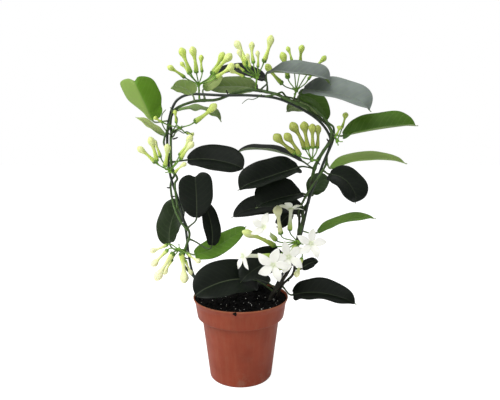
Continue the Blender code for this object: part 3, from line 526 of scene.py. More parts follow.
def skin(grid, finish=0, **marks):
    """A closed skin over rings of points: faces between the rings, and a fan at each end to its middle. A
    finish is one number, or one for each face between rings. Marks are values kept at the points. Faces
    point outwards: the volume inside, the sum of a . (b x c) / 6 over their triangles, is above zero."""
    rows, count = grid.shape[:2]
    number = np.arange(rows * count).reshape(rows, count)
    ahead = np.roll(number, -1, axis=1)
    quads = np.stack([number[:-1], ahead[:-1], ahead[1:], number[1:]], axis=-1).reshape(-1, 4)
    ends = np.vstack([
        np.column_stack([ahead[0], number[0], np.full(count, rows * count)]),
        np.column_stack([number[-1], ahead[-1], np.full(count, rows * count + 1)])])
    points = np.vstack([grid.reshape(-1, 3), grid[0].mean(axis=0), grid[-1].mean(axis=0)])
    a, b, c = np.moveaxis(points[np.vstack([quads[:, :3], quads[:, [0, 2, 3]], ends])], 1, 0)
    if np.sum(a * np.cross(b, c)) < 0:
        quads, ends = quads[:, ::-1], ends[:, ::-1]
    kept = {}
    for name, values in marks.items():
        values = np.asarray(values, float)
        wide = np.broadcast_to(values, (rows, count) + values.shape[2:])
        flat = wide.reshape((rows * count,) + values.shape[2:])
        kept[name] = np.concatenate([flat, wide[:1].mean(axis=1), wide[-1:].mean(axis=1)])
    finishes = np.broadcast_to(finish, (rows - 1, count)).reshape(-1)
    finishes = np.concatenate([finishes, np.full(count, finishes[0]), np.full(count, finishes[-1])])
    return {"points": points, "quads": quads, "ends": ends, "finishes": finishes, "marks": kept}


def mesh_of(name, skins):
    """One mesh from several skins, with their finishes as material slots and their marks as attributes."""
    starts = np.cumsum([0] + [len(s["points"]) for s in skins[:-1]])
    quads = np.vstack([s["quads"] + start for s, start in zip(skins, starts)])
    ends = np.vstack([s["ends"] + start for s, start in zip(skins, starts)])
    split = [np.split(s["finishes"], [len(s["quads"])]) for s in skins]
    points = np.vstack([s["points"] for s in skins]) * MM
    corners = np.concatenate([quads.reshape(-1), ends.reshape(-1)])
    begins = np.concatenate([4 * np.arange(len(quads)), 4 * len(quads) + 3 * np.arange(len(ends))])
    mesh = bpy.data.meshes.new(name)
    mesh.vertices.add(len(points))
    mesh.vertices.foreach_set("co", points.astype(np.float32).reshape(-1))
    mesh.loops.add(len(corners))
    mesh.loops.foreach_set("vertex_index", corners.astype(np.int32))
    mesh.polygons.add(len(begins))
    mesh.polygons.foreach_set("loop_start", begins.astype(np.int32))
    finishes = np.concatenate([pair[0] for pair in split] + [pair[1] for pair in split])
    mesh.polygons.foreach_set("material_index", finishes.astype(np.int32))
    mesh.update(calc_edges=True)
    for mark in skins[0]["marks"]:
        values = np.concatenate([s["marks"][mark] for s in skins])
        kind, field = ("FLOAT", "value") if values.ndim == 1 else ("FLOAT_VECTOR", "vector")
        stored = mesh.attributes.new(mark, kind, "POINT")
        stored.data.foreach_set(field, values.astype(np.float32).reshape(-1))
    mesh.shade_smooth()
    return mesh


def linked(name, data):
    """A new object with that mesh, lamp or camera, linked to the scene."""
    obj = bpy.data.objects.new(name, data)
    bpy.context.scene.collection.objects.link(obj)
    return obj


def piece(name, node, mesh, materials):
    """A finished piece in the scene: it rides on the body and stands for its node, if it has one."""
    obj = linked(name, mesh)
    for material in materials:
        mesh.materials.append(material)
    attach(obj, BODY)
    if node:
        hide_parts(node)
    return obj


# --- materials -----------------------------------------------------------------------------------------
NOISE, MIX, RANGE, MATH = "ShaderNodeTexNoise", "ShaderNodeMix", "ShaderNodeMapRange", "ShaderNodeMath"
MAPPING, ATTRIBUTE, BUMP, SEPARATE = ("ShaderNodeMapping", "ShaderNodeAttribute", "ShaderNodeBump",
                                      "ShaderNodeSeparateXYZ")
COLOURS = {"data_type": "RGBA"}


def add_node(tree, kind, inputs=None, **settings):
    """A node of a material's tree, with its settings. An input is a value, another node (its first output in
    use), or a node and the name of its output."""
    node = tree.nodes.new(kind)
    for name, value in settings.items():
        setattr(node, name, value)
    for name, value in (inputs or {}).items():
        socket = node.inputs[name] if isinstance(name, int) else next(
            s for s in node.inputs if s.enabled and s.name == name)
        if isinstance(value, bpy.types.Node):
            tree.links.new(next(s for s in value.outputs if s.enabled), socket)
        elif isinstance(value, tuple) and isinstance(value[0], bpy.types.Node):
            tree.links.new(value[0].outputs[value[1]], socket)
        elif socket.type == "RGBA":
            socket.default_value = (*value[:3], 1)
        else:
            socket.default_value = value
    return node


def patches(millimetres):
    """The noise scale, over places in metres, whose light and dark patches are about this wide."""
    return 0.5 / (millimetres * MM)


def bare_tree(owner):
    """The node tree of a material or a world, emptied."""
    owner.use_nodes = True
    owner.node_tree.nodes.clear()
    return owner.node_tree


def surface(build):
    """Makes of build a function that gives the finished material, which is made once, under build's own name.
    Build is given a way to add a node, the place on the piece and the user's settings. It adds the nodes
    and returns the shader's inputs."""
    def finished(settings):
        found = bpy.data.materials.get(build.__name__)
        if found:
            return found
        material = bpy.data.materials.new(build.__name__)
        node = functools.partial(add_node, bare_tree(material))
        place = (node("ShaderNodeTexCoord"), "Object")
        shader = node("ShaderNodeBsdfPrincipled", build(node, place, settings))
        node("ShaderNodeOutputMaterial", {"Surface": shader})
        return material

    return finished


@surface
def moulded_polypropylene(node, place, pot):
    """Terracotta-coloured polypropylene, injection moulded and unpolished: an even satin brown-orange, paler
    where the lip is rubbed, with faint upright flow streaks and a film of dried mix near the foot."""
    height = (node(SEPARATE, {0: place}), "Z")
    mottle = node(NOISE, {"Vector": place, "Scale": patches(14), "Detail": 3})
    # the mould's own texture is nearer 0.1 mm: drawn coarse so that it shows
    fine = node(NOISE, {"Vector": place, "Scale": patches(0.5)})
    # the streaks stand upright: the pattern is drawn out 12 times along the height
    drawn = node(MAPPING, {"Vector": place, "Scale": (1, 1, 1 / 12)})
    streak = node(NOISE, {"Vector": drawn, "Scale": patches(2.5)})
    film = node(NOISE, {"Vector": place, "Scale": patches(6), "Detail": 4, "Roughness": 0.65})
    mottled = node(RANGE, {"Value": mottle, "From Min": 0.35, "From Max": 0.65})
    streaked = node(RANGE, {"Value": streak, "From Min": 0.45, "From Max": 0.75, "To Max": 0.14})
    rubbed = node(RANGE, {"Value": height, "From Min": (POT_TOP - 2.2) * MM,
                          "From Max": (POT_TOP - 0.4) * MM, "To Max": 0.5})
    low = node(RANGE, {"Value": height, "From Max": 30 * MM, "To Min": 0.35, "To Max": 0.06})
    thick = node(RANGE, {"Value": film, "From Min": 0.52, "From Max": 0.7})
    dusty = node(MATH, {0: low, 1: thick}, operation="MULTIPLY")
    body = node(MIX, {"Factor": mottled, "A": pot.plastic, "B": pot.plastic_dark}, **COLOURS)
    for part, colour in ((streaked, pot.plastic_worn), (rubbed, pot.plastic_worn), (dusty, pot.dust)):
        body = node(MIX, {"Factor": part, "A": body, "B": colour}, **COLOURS)
    rough = node(RANGE, {"Value": mottle, "From Min": 0.3, "From Max": 0.7, "To Min": 0.42, "To Max": 0.54})
    uneven = node(MATH, {0: fine, 1: streak}, operation="ADD")
    return {"Base Color": body, "Roughness": rough, "IOR": 1.49, "Specular IOR Level": 0.3,
            "Subsurface Weight": 0.06, "Subsurface Radius": (1.0, 0.35, 0.2),
            "Subsurface Scale": 1.5 * MM,
            "Normal": node(BUMP, {"Height": uneven, "Strength": 1, "Distance": 0.05 * MM})}


@surface
def damp_peat(node, place, pot):
    """Peat with bark fines, damp and rough: nearly black, browner in dry patches and along its fibres."""
    clumps = node(NOISE, {"Vector": place, "Scale": patches(3.5), "Detail": 5, "Roughness": 0.7})
    drawn = node(MAPPING, {"Vector": place, "Rotation": (0.4, 0.2, 0.7), "Scale": (1, 0.12, 1)})
    fibres = node(NOISE, {"Vector": drawn, "Scale": patches(0.8)})
    dry = node(RANGE, {"Value": clumps, "From Min": 0.4, "From Max": 0.7})
    body = node(MIX, {"Factor": dry, "A": pot.mix_dark, "B": pot.mix_brown}, **COLOURS)
    stringy = node(RANGE, {"Value": fibres, "From Min": 0.62, "From Max": 0.74, "To Max": 0.8})
    body = node(MIX, {"Factor": stringy, "A": body, "B": pot.mix_fibre}, **COLOURS)
    rough = node(MATH, {0: clumps, 1: fibres}, operation="ADD")
    return {"Base Color": body, "Roughness": 0.95, "Specular IOR Level": 0.1,
            "Normal": node(BUMP, {"Height": rough, "Strength": 1, "Distance": 0.9 * MM})}


@surface
def expanded_perlite(node, place, pot):
    """Expanded perlite: chalk-white porous glass, matt, stained grey-brown by the wet mix."""
    stains = node(NOISE, {"Vector": place, "Scale": patches(1.6), "Detail": 3})
    pores = node(NOISE, {"Vector": place, "Scale": patches(0.4)})
    stained = node(RANGE, {"Value": stains, "From Min": 0.42, "From Max": 0.62})
    body = node(MIX, {"Factor": stained, "A": pot.perlite, "B": pot.perlite_stained}, **COLOURS)
    return {"Base Color": body, "Roughness": 0.85,
            "Normal": node(BUMP, {"Height": pores, "Strength": 1, "Distance": 0.15 * MM})}


@surface
def dipped_wire(node, place, pot):
    """Steel wire dipped in dark green vinyl: a soft gloss over a slightly uneven skin."""
    runs = node(NOISE, {"Vector": place, "Scale": patches(5)})
    thick = node(RANGE, {"Value": runs, "From Min": 0.3, "From Max": 0.7})
    body = node(MIX, {"Factor": thick, "A": pot.wire, "B": pot.wire_dark}, **COLOURS)
    rough = node(RANGE, {"Value": thick, "To Min": 0.3, "To Max": 0.42})
    return {"Base Color": body, "Roughness": rough, "IOR": 1.53,
            "Normal": node(BUMP, {"Height": runs, "Strength": 1, "Distance": 0.12 * MM})}


@surface
def vine_bark(node, place, plant):
    """Bark of a twining stem: dark brown and corky with pale cracks along it at the foot, and smooth dark
    green where the wood is young."""
    youth = (node(ATTRIBUTE, attribute_name="youth"), "Fac")
    # millimetres round the stem and along it: the cracks are 5 times as long as they are wide
    drawn = node(MAPPING, {"Vector": (node(ATTRIBUTE, attribute_name="place"), "Vector"),
                           "Scale": (0.5, 0.5, 0.1)})
    cracks = node(NOISE, {"Vector": drawn, "Scale": 3.0, "Detail": 4, "Roughness": 0.6})
    spots = node(NOISE, {"Vector": place, "Scale": patches(9), "Detail": 3})
    open_crack = node(RANGE, {"Value": cracks, "From Min": 0.52, "From Max": 0.7})
    wood = node(MIX, {"Factor": open_crack, "A": plant.bark_dark, "B": plant.bark_pale}, **COLOURS)
    shallow = node(RANGE, {"Value": cracks, "From Min": 0.45, "From Max": 0.75, "To Max": 0.6})
    young = node(MIX, {"Factor": shallow, "A": plant.stem_green, "B": plant.bark_dark}, **COLOURS)
    uneven = node(RANGE, {"Value": spots, "From Min": 0.3, "From Max": 0.7, "To Min": -0.35, "To Max": 0.35})
    greened = node(MATH, {0: youth, 1: uneven}, operation="ADD")
    greened = node(RANGE, {"Value": greened, "From Min": 0.3, "From Max": 0.7})
    body = node(MIX, {"Factor": greened, "A": wood, "B": young}, **COLOURS)
    rough = node(RANGE, {"Value": youth, "To Min": 0.72, "To Max": 0.42})
    return {"Base Color": body, "Roughness": rough, "Specular IOR Level": 0.4,
            "Normal": node(BUMP, {"Height": cracks, "Strength": 1, "Distance": 0.35 * MM})}


def veins(node, place, plant):
    """How near a place on the blade is to a side vein and to the midrib, from 0 to 1. The side veins leave
    the midrib every few millimetres and bend forward: along - across (slant + bend across) is even on
    each."""
    apart = node(SEPARATE, {0: (node(ATTRIBUTE, attribute_name="place"), "Vector")})
    across = node(MATH, {0: (apart, "X")}, operation="ABSOLUTE")
    slant = node(MATH, {0: across, 1: VEIN_BEND, 2: VEIN_SLANT}, operation="MULTIPLY_ADD")
    forward = node(MATH, {0: across, 1: slant}, operation="MULTIPLY")
    row = node(MATH, {0: (apart, "Y"), 1: forward}, operation="SUBTRACT")
    bends = node(NOISE, {"Vector": place, "Scale": patches(12)})
    row = node(MATH, {0: bends, 1: 4.0, 2: row}, operation="MULTIPLY_ADD")
    apart_by = node(MATH, {0: row, 1: 0.5 * plant.vein_spacing / MM}, operation="PINGPONG")
    side_vein = node(RANGE, {"Value": apart_by, "From Max": 0.75, "To Min": 1, "To Max": 0})
    midrib = node(RANGE, {"Value": across, "From Min": 0.3, "From Max": 0.85, "To Min": 1, "To Max": 0})
    return side_vein, midrib


# a little green light passes into a leaf
LEAF_FLESH = {"IOR": 1.45, "Subsurface Weight": 0.08, "Subsurface Radius": (0.4, 1.0, 0.2),
              "Subsurface Scale": 0.8 * MM}


@surface
def leaf_upper_side(node, place, plant):
    """The upper cuticle of a leathery leaf: wax-smooth and nearly black-green when old, with a satin sheen,
    sunken side veins a little paler and a pale green midrib; bright green when young. Painted sheen: a grey
    film laid on the topmost leaves for the light that they reflect, and a paler left half painted on one leaf
    for the light that falls on it from the left."""
    # the marks: youth, the paler green (with the painted light on one leaf's left half), the painted sheen
    # and the midrib's clearness
    youth, pale, bloom, rib = (
        (node(ATTRIBUTE, attribute_name=mark), "Fac") for mark in ("youth", "pale", "bloom", "rib"))
    side_vein, midrib = veins(node, place, plant)
    spots = node(NOISE, {"Vector": place, "Scale": patches(20), "Detail": 3})
    # the skin's cells are nearer 0.05 mm: drawn coarse so that they show
    cells = node(NOISE, {"Vector": place, "Scale": patches(0.7)})
    body = node(MIX, {"Factor": youth, "A": plant.leaf_dark, "B": plant.leaf_young}, **COLOURS)
    patch = node(MIX, {"Factor": youth, "A": plant.leaf_dark_patch, "B": plant.leaf_young_patch}, **COLOURS)
    patchy = node(RANGE, {"Value": spots, "From Min": 0.35, "From Max": 0.68})
    thick = node(RANGE, {"Value": spots, "From Min": 0.35, "From Max": 0.65, "To Min": 0.7, "To Max": 1.1})
    # painted sheen: a grey film, patchy in thickness, that stands in for the light the topmost leaves reflect
    film = node(MATH, {0: bloom, 1: thick}, operation="MULTIPLY")
    # the side veins hardly show on an old leaf, more where it is young or under its painted sheen
    vein = node(MIX, {"Factor": youth, "A": plant.midrib, "B": plant.vein_young}, **COLOURS)
    clear = node(MATH, {0: youth, 1: 0.25, 2: 0.015}, operation="MULTIPLY_ADD")
    clear = node(MATH, {0: bloom, 1: 0.3, 2: clear}, operation="MULTIPLY_ADD")
    faint = node(MATH, {0: side_vein, 1: clear}, operation="MULTIPLY")
    along = node(MATH, {0: midrib, 1: rib}, operation="MULTIPLY")
    # the paler green also lays on the painted light of a leaf's left half
    for part, colour in ((patchy, patch), (pale, plant.leaf_pale), (film, plant.bloom), (faint, vein),
                         (along, plant.midrib)):
        body = node(MIX, {"Factor": part, "A": body, "B": colour}, **COLOURS)
    rough = node(RANGE, {"Value": spots, "From Min": 0.3, "From Max": 0.7, "To Min": 0.42, "To Max": 0.52})
    sunk = node(MATH, {0: side_vein, 1: -0.35, 2: cells}, operation="MULTIPLY_ADD")
    return {"Base Color": body, "Roughness": rough, "Specular IOR Level": 0.16, **LEAF_FLESH,
            "Normal": node(BUMP, {"Height": sunk, "Strength": 0.4, "Distance": 0.16 * MM})}


@surface
def leaf_under_side(node, place, plant):
    """The under side of the leaf and its stalk: matt and paler green, with the net of veins standing out."""
    youth, stalk = ((node(ATTRIBUTE, attribute_name=mark), "Fac") for mark in ("youth", "stalk"))
    side_vein, midrib = veins(node, place, plant)
    spots = node(NOISE, {"Vector": place, "Scale": patches(16), "Detail": 3})
    net = node(NOISE, {"Vector": place, "Scale": patches(1.2)})
    body = node(MIX, {"Factor": youth, "A": plant.under_dark, "B": plant.under_young}, **COLOURS)
    patch = node(MIX, {"Factor": youth, "A": plant.under_patch, "B": plant.leaf_young}, **COLOURS)
    patchy = node(RANGE, {"Value": spots, "From Min": 0.35, "From Max": 0.7, "To Max": 0.5})
    faint = node(MATH, {0: side_vein, 1: 0.4}, operation="MULTIPLY")
    along = node(MATH, {0: midrib, 1: 0.7}, operation="MULTIPLY")
    stem_like = node(MIX, {"Factor": youth, "A": plant.stalk_dark, "B": plant.midrib}, **COLOURS)
    for part, colour in ((patchy, patch), (faint, plant.midrib), (along, plant.midrib), (stalk, stem_like)):
        body = node(MIX, {"Factor": part, "A": body, "B": colour}, **COLOURS)
    raised = node(MATH, {0: side_vein, 1: 0.6, 2: net}, operation="MULTIPLY_ADD")
    return {"Base Color": body, "Roughness": 0.55, "Specular IOR Level": 0.35, **LEAF_FLESH,
            "Normal": node(BUMP, {"Height": raised, "Strength": 0.6, "Distance": 0.15 * MM})}


def bud_inputs(node, place, plant, dulled=0.0):
    """The shader's inputs for a bud's skin, which is dulled towards an olive beige by that part."""
    spots = node(NOISE, {"Vector": place, "Scale": patches(6)})
    fine = node(NOISE, {"Vector": place, "Scale": patches(1)})
    uneven = node(RANGE, {"Value": spots, "From Min": 0.3, "From Max": 0.7, "To Min": -0.08, "To Max": 0.08})
    ripe = node(MATH, {0: (node(ATTRIBUTE, attribute_name="ripe"), "Fac"), 1: uneven}, operation="ADD")
    filling = node(RANGE, {"Value": ripe, "From Max": 0.5})
    body = node(MIX, {"Factor": filling, "A": plant.bud_green, "B": plant.bud_yellow}, **COLOURS)
    ripening = node(RANGE, {"Value": ripe, "From Min": 0.5})
    body = node(MIX, {"Factor": ripening, "A": body, "B": plant.bud_ivory}, **COLOURS)
    if dulled:
        body = node(MIX, {"Factor": dulled, "A": body, "B": plant.bud_dull}, **COLOURS)
    return {"Base Color": body, "Roughness": 0.42, "IOR": 1.42, "Specular IOR Level": 0.45,
            "Subsurface Weight": 0.25, "Subsurface Radius": (1.0, 0.9, 0.5), "Subsurface Scale": 1.6 * MM,
            "Normal": node(BUMP, {"Height": fine, "Strength": 0.6, "Distance": 0.08 * MM})}


@surface
def waxy_bud(node, place, plant):
    """The skin of a closed flower: smooth and waxy, green while it fills, then yellow-green, ivory when ripe,
    with light passing a little way in."""
    return bud_inputs(node, place, plant)


@surface
def weathered_bud(node, place, plant):
    """The same waxy skin on buds that have hung long: dull and browner."""
    return bud_inputs(node, place, plant, DULLED_BY)


@surface
def waxy_petal(node, place, plant):
    """The open flower: thick, waxy and pure white with faint ribs along each petal, warm green-yellow at the
    throat and on the outside of the tube."""
    green = (node(ATTRIBUTE, attribute_name="green"), "Fac")
    # millimetres across and along the petal: the ribs run its whole length
    drawn = node(MAPPING, {"Vector": (node(ATTRIBUTE, attribute_name="place"), "Vector"),
                           "Scale": (1.0, 0.08, 1.0)})
    ribs = node(NOISE, {"Vector": drawn, "Scale": 1.3})
    fine = node(NOISE, {"Vector": place, "Scale": patches(0.8)})
    ribbed = node(RANGE, {"Value": ribs, "From Min": 0.45, "From Max": 0.75, "To Max": 0.35})
    body = node(MIX, {"Factor": ribbed, "A": plant.petal, "B": plant.petal_shade}, **COLOURS)
    body = node(MIX, {"Factor": green, "A": body, "B": plant.throat}, **COLOURS)
    uneven = node(MATH, {0: ribs, 1: fine}, operation="ADD")
    return {"Base Color": body, "Roughness": 0.48, "IOR": 1.42, "Specular IOR Level": 0.4,
            "Subsurface Weight": 0.3, "Subsurface Radius": (1.0, 1.0, 0.8), "Subsurface Scale": 1.8 * MM,
            "Normal": node(BUMP, {"Height": uneven, "Strength": 0.6, "Distance": 0.12 * MM})}


@surface
def green_stalk(node, place, plant):
    """Fine stalks and calyces: thin smooth skin, dark green, browner in spots."""
    spots = node(NOISE, {"Vector": place, "Scale": patches(5), "Detail": 3})
    fine = node(NOISE, {"Vector": place, "Scale": patches(1)})
    browned = node(RANGE, {"Value": spots, "From Min": 0.4, "From Max": 0.7})
    body = node(MIX, {"Factor": browned, "A": plant.calyx, "B": plant.calyx_dark}, **COLOURS)
    return {"Base Color": body, "Roughness": 0.5, "IOR": 1.45, "Specular IOR Level": 0.4,
            "Normal": node(BUMP, {"Height": fine, "Strength": 0.6, "Distance": 0.1 * MM})}


# --- pot and mix ---------------------------------------------------------------------------------------
POT_HIGH = np.array(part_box("pot")[1]) / MM
POT_TOP = float(POT_HIGH[2])
LIP_RADIUS = float(POT_HIGH[0])
MIX_TOP = float(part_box("potting_mix")[1][2]) / MM
WALL = 1.2
BODY_FOOT_RADIUS = 39.5
FOOT_RING_WIDTH = 5.5
FLOOR_LIFT = 2.6
MIDDLE_DISC_RADIUS = 16.0
DRAIN_HOLES, DRAIN_RADIUS, DRAIN_CIRCLE, DRAIN_SIDES = 6, 4.0, 25.0, 24
DRAIN_ENDS = (-5.0, 12.0)  # the heights between which a hole is drilled
AXIS = 0.01  # a radius that stands for the axis itself
MIX_LEVEL = MIX_TOP - 0.9  # the surface swells and sinks about this height
MIX_RINGS = 44
MIX_TOP_RADIUS = LIP_RADIUS - WALL - 1.1
# the mix's side from its top down the wall, and the middle of its underside, as radius and height
MIX_SIDE = [(55.6, 97.5), (52.4, 81.5), (46.6, 79.0), (38.2, 5.0), (AXIS, 4.3)]
# the surface's swells, pits and fine crumb: height and width in mm, and seed
MIX_RELIEF = [(1.2, 16, 11), (0.7, 5, 12), (0.5, 2, 13)]
SCATTER_RADIUS = 55.0
# where crumbs lie on the lip, and their sizes: three cling together at its front
LIP_CRUMBS = [(-5.5, -60.2, 102.4), (-33.5, -49.0, 104.2), (23.5, -54.3, 104.2), (-5.0, -60.5, 101.3),
              (-6.6, -60.0, 102.0)]
LIP_CRUMB_SIZES = [2.0, 0.7, 0.9, 1.9, 1.6]
# the pot's outer side from the lip down, as radius and height under a rounded lip of 0.6 mm
OUTER_SIDE = [(59.2, 104.0), (59.75, 103.85), (60.0, 103.4), (59.9, 102.7), (59.0, 100.6), (57.9, 98.0),
              (57.3, 96.4), (57.15, 95.2), (56.5, 90.6), (55.6, 84.6), (54.95, 80.6), (54.7, 79.6),
              (54.2, 79.05), (53.2, 78.9), (50.6, 78.7), (49.4, 78.3), (49.0, 77.5), (48.75, 75.4),
              (46.6, 58.0), (43.6, 33.5), (40.3, 6.0), (39.85, 2.2), (39.6, 0.8), (39.1, 0.15), (38.4, 0.0)]
# its inner side from the foot up to the lip, a wall's thickness in
INNER_SIDE = [(39.1, 6.0), (42.4, 33.5), (45.4, 58.0), (47.5, 75.4), (47.8, 77.6), (48.4, 79.3),
              (49.6, 80.0), (52.6, 80.5), (53.6, 81.2), (54.4, 84.6), (55.3, 90.6), (55.95, 95.2),
              (56.1, 96.6), (56.75, 98.2), (57.85, 100.8), (58.6, 102.6), (58.75, 103.5), (58.95, 103.9)]


def drilled(mesh, cutter):
    """The mesh with the cutter's rods taken out of it by an exact Boolean, applied at once."""
    body, tool = linked(mesh.name, mesh), linked(cutter.name, cutter)
    boolean = body.modifiers.new("drain holes", "BOOLEAN")
    boolean.operation, boolean.solver, boolean.object = "DIFFERENCE", "EXACT", tool
    bpy.context.view_layer.update()
    seen = body.evaluated_get(bpy.context.evaluated_depsgraph_get())
    result = bpy.data.meshes.new_from_object(seen)
    for obj in (body, tool):
        bpy.data.objects.remove(obj)
    for old in (mesh, cutter):
        bpy.data.meshes.remove(old)
    return result


def pot_outline():
    """The wall's inner side from the middle of the floor up, the rounded lip, the outer side down, and the
    underside with its foot ring and middle disc."""
    ring = BODY_FOOT_RADIUS - FOOT_RING_WIDTH
    floor, shift = FLOOR_LIFT + WALL, WALL / 2
    inside = [(AXIS, WALL), (MIDDLE_DISC_RADIUS - shift, WALL), (MIDDLE_DISC_RADIUS + 2 - shift, floor),
              (ring - 2 + shift, floor), (ring + shift, WALL), (BODY_FOOT_RADIUS - WALL, 1.5 * WALL)]
    under = [(ring + 0.3, 0.0), (ring, 0.3), (ring - 1.8, FLOOR_LIFT - 0.2), (ring - 2.3, FLOOR_LIFT),
             (MIDDLE_DISC_RADIUS + 2.3, FLOOR_LIFT), (MIDDLE_DISC_RADIUS + 1.8, FLOOR_LIFT - 0.2),
             (MIDDLE_DISC_RADIUS, 0.3), (MIDDLE_DISC_RADIUS - 0.3, 0.0), (AXIS, 0.0)]
    return np.array(inside + INNER_SIDE + OUTER_SIDE + under)


def pot_mesh(pot):
    """The pot: its outline turned round the axis, less a circle of upright rods for the drain holes, whose
    middles are at DRAIN_CIRCLE (cos(angle), sin(angle))."""
    rod = spun([DRAIN_RADIUS] * 2, DRAIN_ENDS, DRAIN_SIDES)
    middles = spun([DRAIN_CIRCLE], [0], DRAIN_HOLES)[0]
    body = mesh_of("pot_shell", [skin(spun(*pot_outline().T, pot.segments))])
    result = drilled(body, mesh_of("drain_rods", [skin(rod + middle) for middle in middles]))
    result.name = "pot_shell"
    result.shade_smooth()
    return result


def mix_surface(x, y):
    """How high the mix stands over its level, in mm: low swells and pits, and a fine crumb."""
    flat = np.stack([x, y, np.zeros_like(x)], axis=-1)
    return sum(height * wobble(flat, width, seed) for height, width, seed in MIX_RELIEF)


def mix_mesh(pot):
    """The mix in the pot: its top ring by ring out to the wall, then down the wall and under. The top swells
    by mix_surface, which dies away over the last 3 mm to the wall."""
    top = [(radius, MIX_LEVEL) for radius in MIX_TOP_RADIUS * np.linspace(0.004, 1, MIX_RINGS)]
    grid = spun(*np.array(top + MIX_SIDE).T, pot.segments)
    x, y = grid[:MIX_RINGS, :, 0], grid[:MIX_RINGS, :, 1]
    free = 1 - ease(MIX_TOP_RADIUS - 3, MIX_TOP_RADIUS, np.hypot(x, y))
    grid[:MIX_RINGS, :, 2] += free * mix_surface(x, y)
    return mesh_of("mix_fill", [skin(grid)])


ICOSAHEDRON = np.array([
    (-1, 1.618, 0), (1, 1.618, 0), (-1, -1.618, 0), (1, -1.618, 0), (0, -1, 1.618), (0, 1, 1.618),
    (0, -1, -1.618), (0, 1, -1.618), (1.618, 0, -1), (1.618, 0, 1), (-1.618, 0, -1), (-1.618, 0, 1)]) / 1.902
ICOSAHEDRON_FACES = np.array([
    (0, 11, 5), (0, 5, 1), (0, 1, 7), (0, 7, 10), (0, 10, 11), (1, 5, 9), (5, 11, 4), (11, 10, 2), (10, 7, 6),
    (7, 1, 8), (3, 9, 4), (3, 4, 2), (3, 2, 6), (3, 6, 8), (3, 8, 9), (4, 9, 5), (2, 4, 11), (6, 2, 10),
    (8, 6, 7), (9, 8, 1)])


def grains_mesh(name, places, sizes, seed, stretch):
    """Loose grains: at each place an icosahedron whose corners are moved in and out at random, turned at
    random, and drawn out along one way of its own."""
    rng = np.random.default_rng(seed)
    total = len(places)
    shapes = ICOSAHEDRON * rng.uniform(0.7, 1.15, (total, 12, 1))
    shapes[..., 0] *= rng.uniform(1, stretch, (total, 1))
    shapes[..., 2] *= rng.uniform(0.6, 1, (total, 1))
    turns, _ = np.linalg.qr(rng.normal(size=(total, 3, 3)))
    turns[np.linalg.det(turns) < 0, :, 0] *= -1
    points = np.einsum("nij,nkj->nki", turns, shapes) * sizes[:, None, None] + places[:, None]
    faces = (ICOSAHEDRON_FACES[None] + 12 * np.arange(total)[:, None, None]).reshape(-1, 3)
    mesh = bpy.data.meshes.new(name)
    mesh.from_pydata(points.reshape(-1, 3) * MM, [], faces)
    mesh.update()
    return mesh


def scattered(count, radius, seed, front=0.0):
    """Places on the mix, spread evenly over a disc: radius times the root of a random number. The share
    `front` of them is brought to the front half."""
    rng = np.random.default_rng(seed)
    reach = radius * np.sqrt(rng.uniform(0, 1, count))
    angle = rng.uniform(0, 2 * math.pi, count)
    x, y = reach * np.cos(angle), reach * np.sin(angle)
    y = np.where(rng.uniform(0, 1, count) < front, -np.abs(y), y)
    return np.stack([x, y, MIX_LEVEL + mix_surface(x, y)], axis=-1), rng


# --- wire and stems ------------------------------------------------------------------------------------
# short dry stubs and bare twigs: stem, a point towards which each leaves it, and its length
STUBS = [
    ("vine_main", (70, -12, 150), 9), ("vine_main", (20, -10, 372), 6), ("vine_main", (-20, -6, 368), 5),
    ("vine_main", (98, -14, 268), 6), ("vine_main", (-96, -12, 240), 5), ("vine_left", (-60, -12, 150), 7),
    ("vine_left", (-100, -6, 230), 5), ("vine_second", (80, -10, 160), 7), ("vine_second", (88, 14, 206), 6),
    ("vine_second", (60, -12, 124), 5), ("vine_main", (50, -20, 128), 5), ("vine_main", (66, -12, 352), 5),
    ("vine_main", (-86, -12, 333), 6), ("vine_main", (-76, -16, 326), 7), ("vine_main", (-70, -12, 328), 5),
    ("vine_main", (-66, -10, 315), 7), ("vine_main", (-72, -14, 306), 6), ("vine_main", (-84, -14, 318), 5),
    ("vine_main", (-64, -8, 302), 7), ("vine_main", (-79, -16, 309), 6), ("vine_main", (104, -12, 300), 6),
]
# thin shoots that curl off the main stem: the radius at the foot, and the route
SHOOTS = [
    (0.6, [(26, -6, 354), (21, -9, 350), (15, -10, 347.5), (10, -9, 348), (6, -8, 346), (2, -6, 342.5)]),
    (0.8, [(-85, -1, 306), (-90, -9, 313), (-93, -12, 322), (-92, -12, 330), (-88, -9, 336)]),
    (0.9, [(-85, -1, 305), (-80, -12, 311), (-75, -15, 318), (-74, -14, 325), (-77, -12, 331),
           (-76, -9, 337)]),
    (0.8, [(-84, -4, 300), (-78, -12, 307), (-73, -14, 311), (-67, -13, 308), (-63, -14, 310),
           (-56, -15, 306)]),
    (0.8, [(-86, 0, 318), (-82, -13, 327), (-80, -14, 333), (-83, -9, 339)]),
]
# how green a stem is along its length, as (part of the way, youth) pairs
STEM_YOUTH = {
    "vine_main": [(0, 0), (0.12, 0.15), (0.25, 0.55), (0.5, 0.7), (0.8, 0.75), (1, 0.9)],
    "vine_second": [(0, 0), (0.15, 0.2), (0.4, 0.6), (1, 0.9)],
    "vine_left": [(0, 0.45), (0.3, 0.8), (0.6, 0.85), (1, 0.95)],
}
ROUND_SIDES, THIN_SIDES = 16, 8


def attached_to(stem):
    """The points at which the leaves and clusters of a stem begin."""
    points = [row[1] for row in [*LEAVES.values(), *BUD_CLUSTERS.values()] if row[0] == stem]
    return points + ([CLUSTER_KNOB] if stem == MAIN_STEM else [])


def tapered_ends(along, total, reach):
    """A factor on a radius that rounds both ends: the root of 1 - (1 - d / reach)^2 at a distance d."""
    near = np.clip(np.minimum(along, total - along) / reach, 0, 1)
    return np.sqrt(np.clip(1 - (1 - near) ** 2, 0.01, 1))


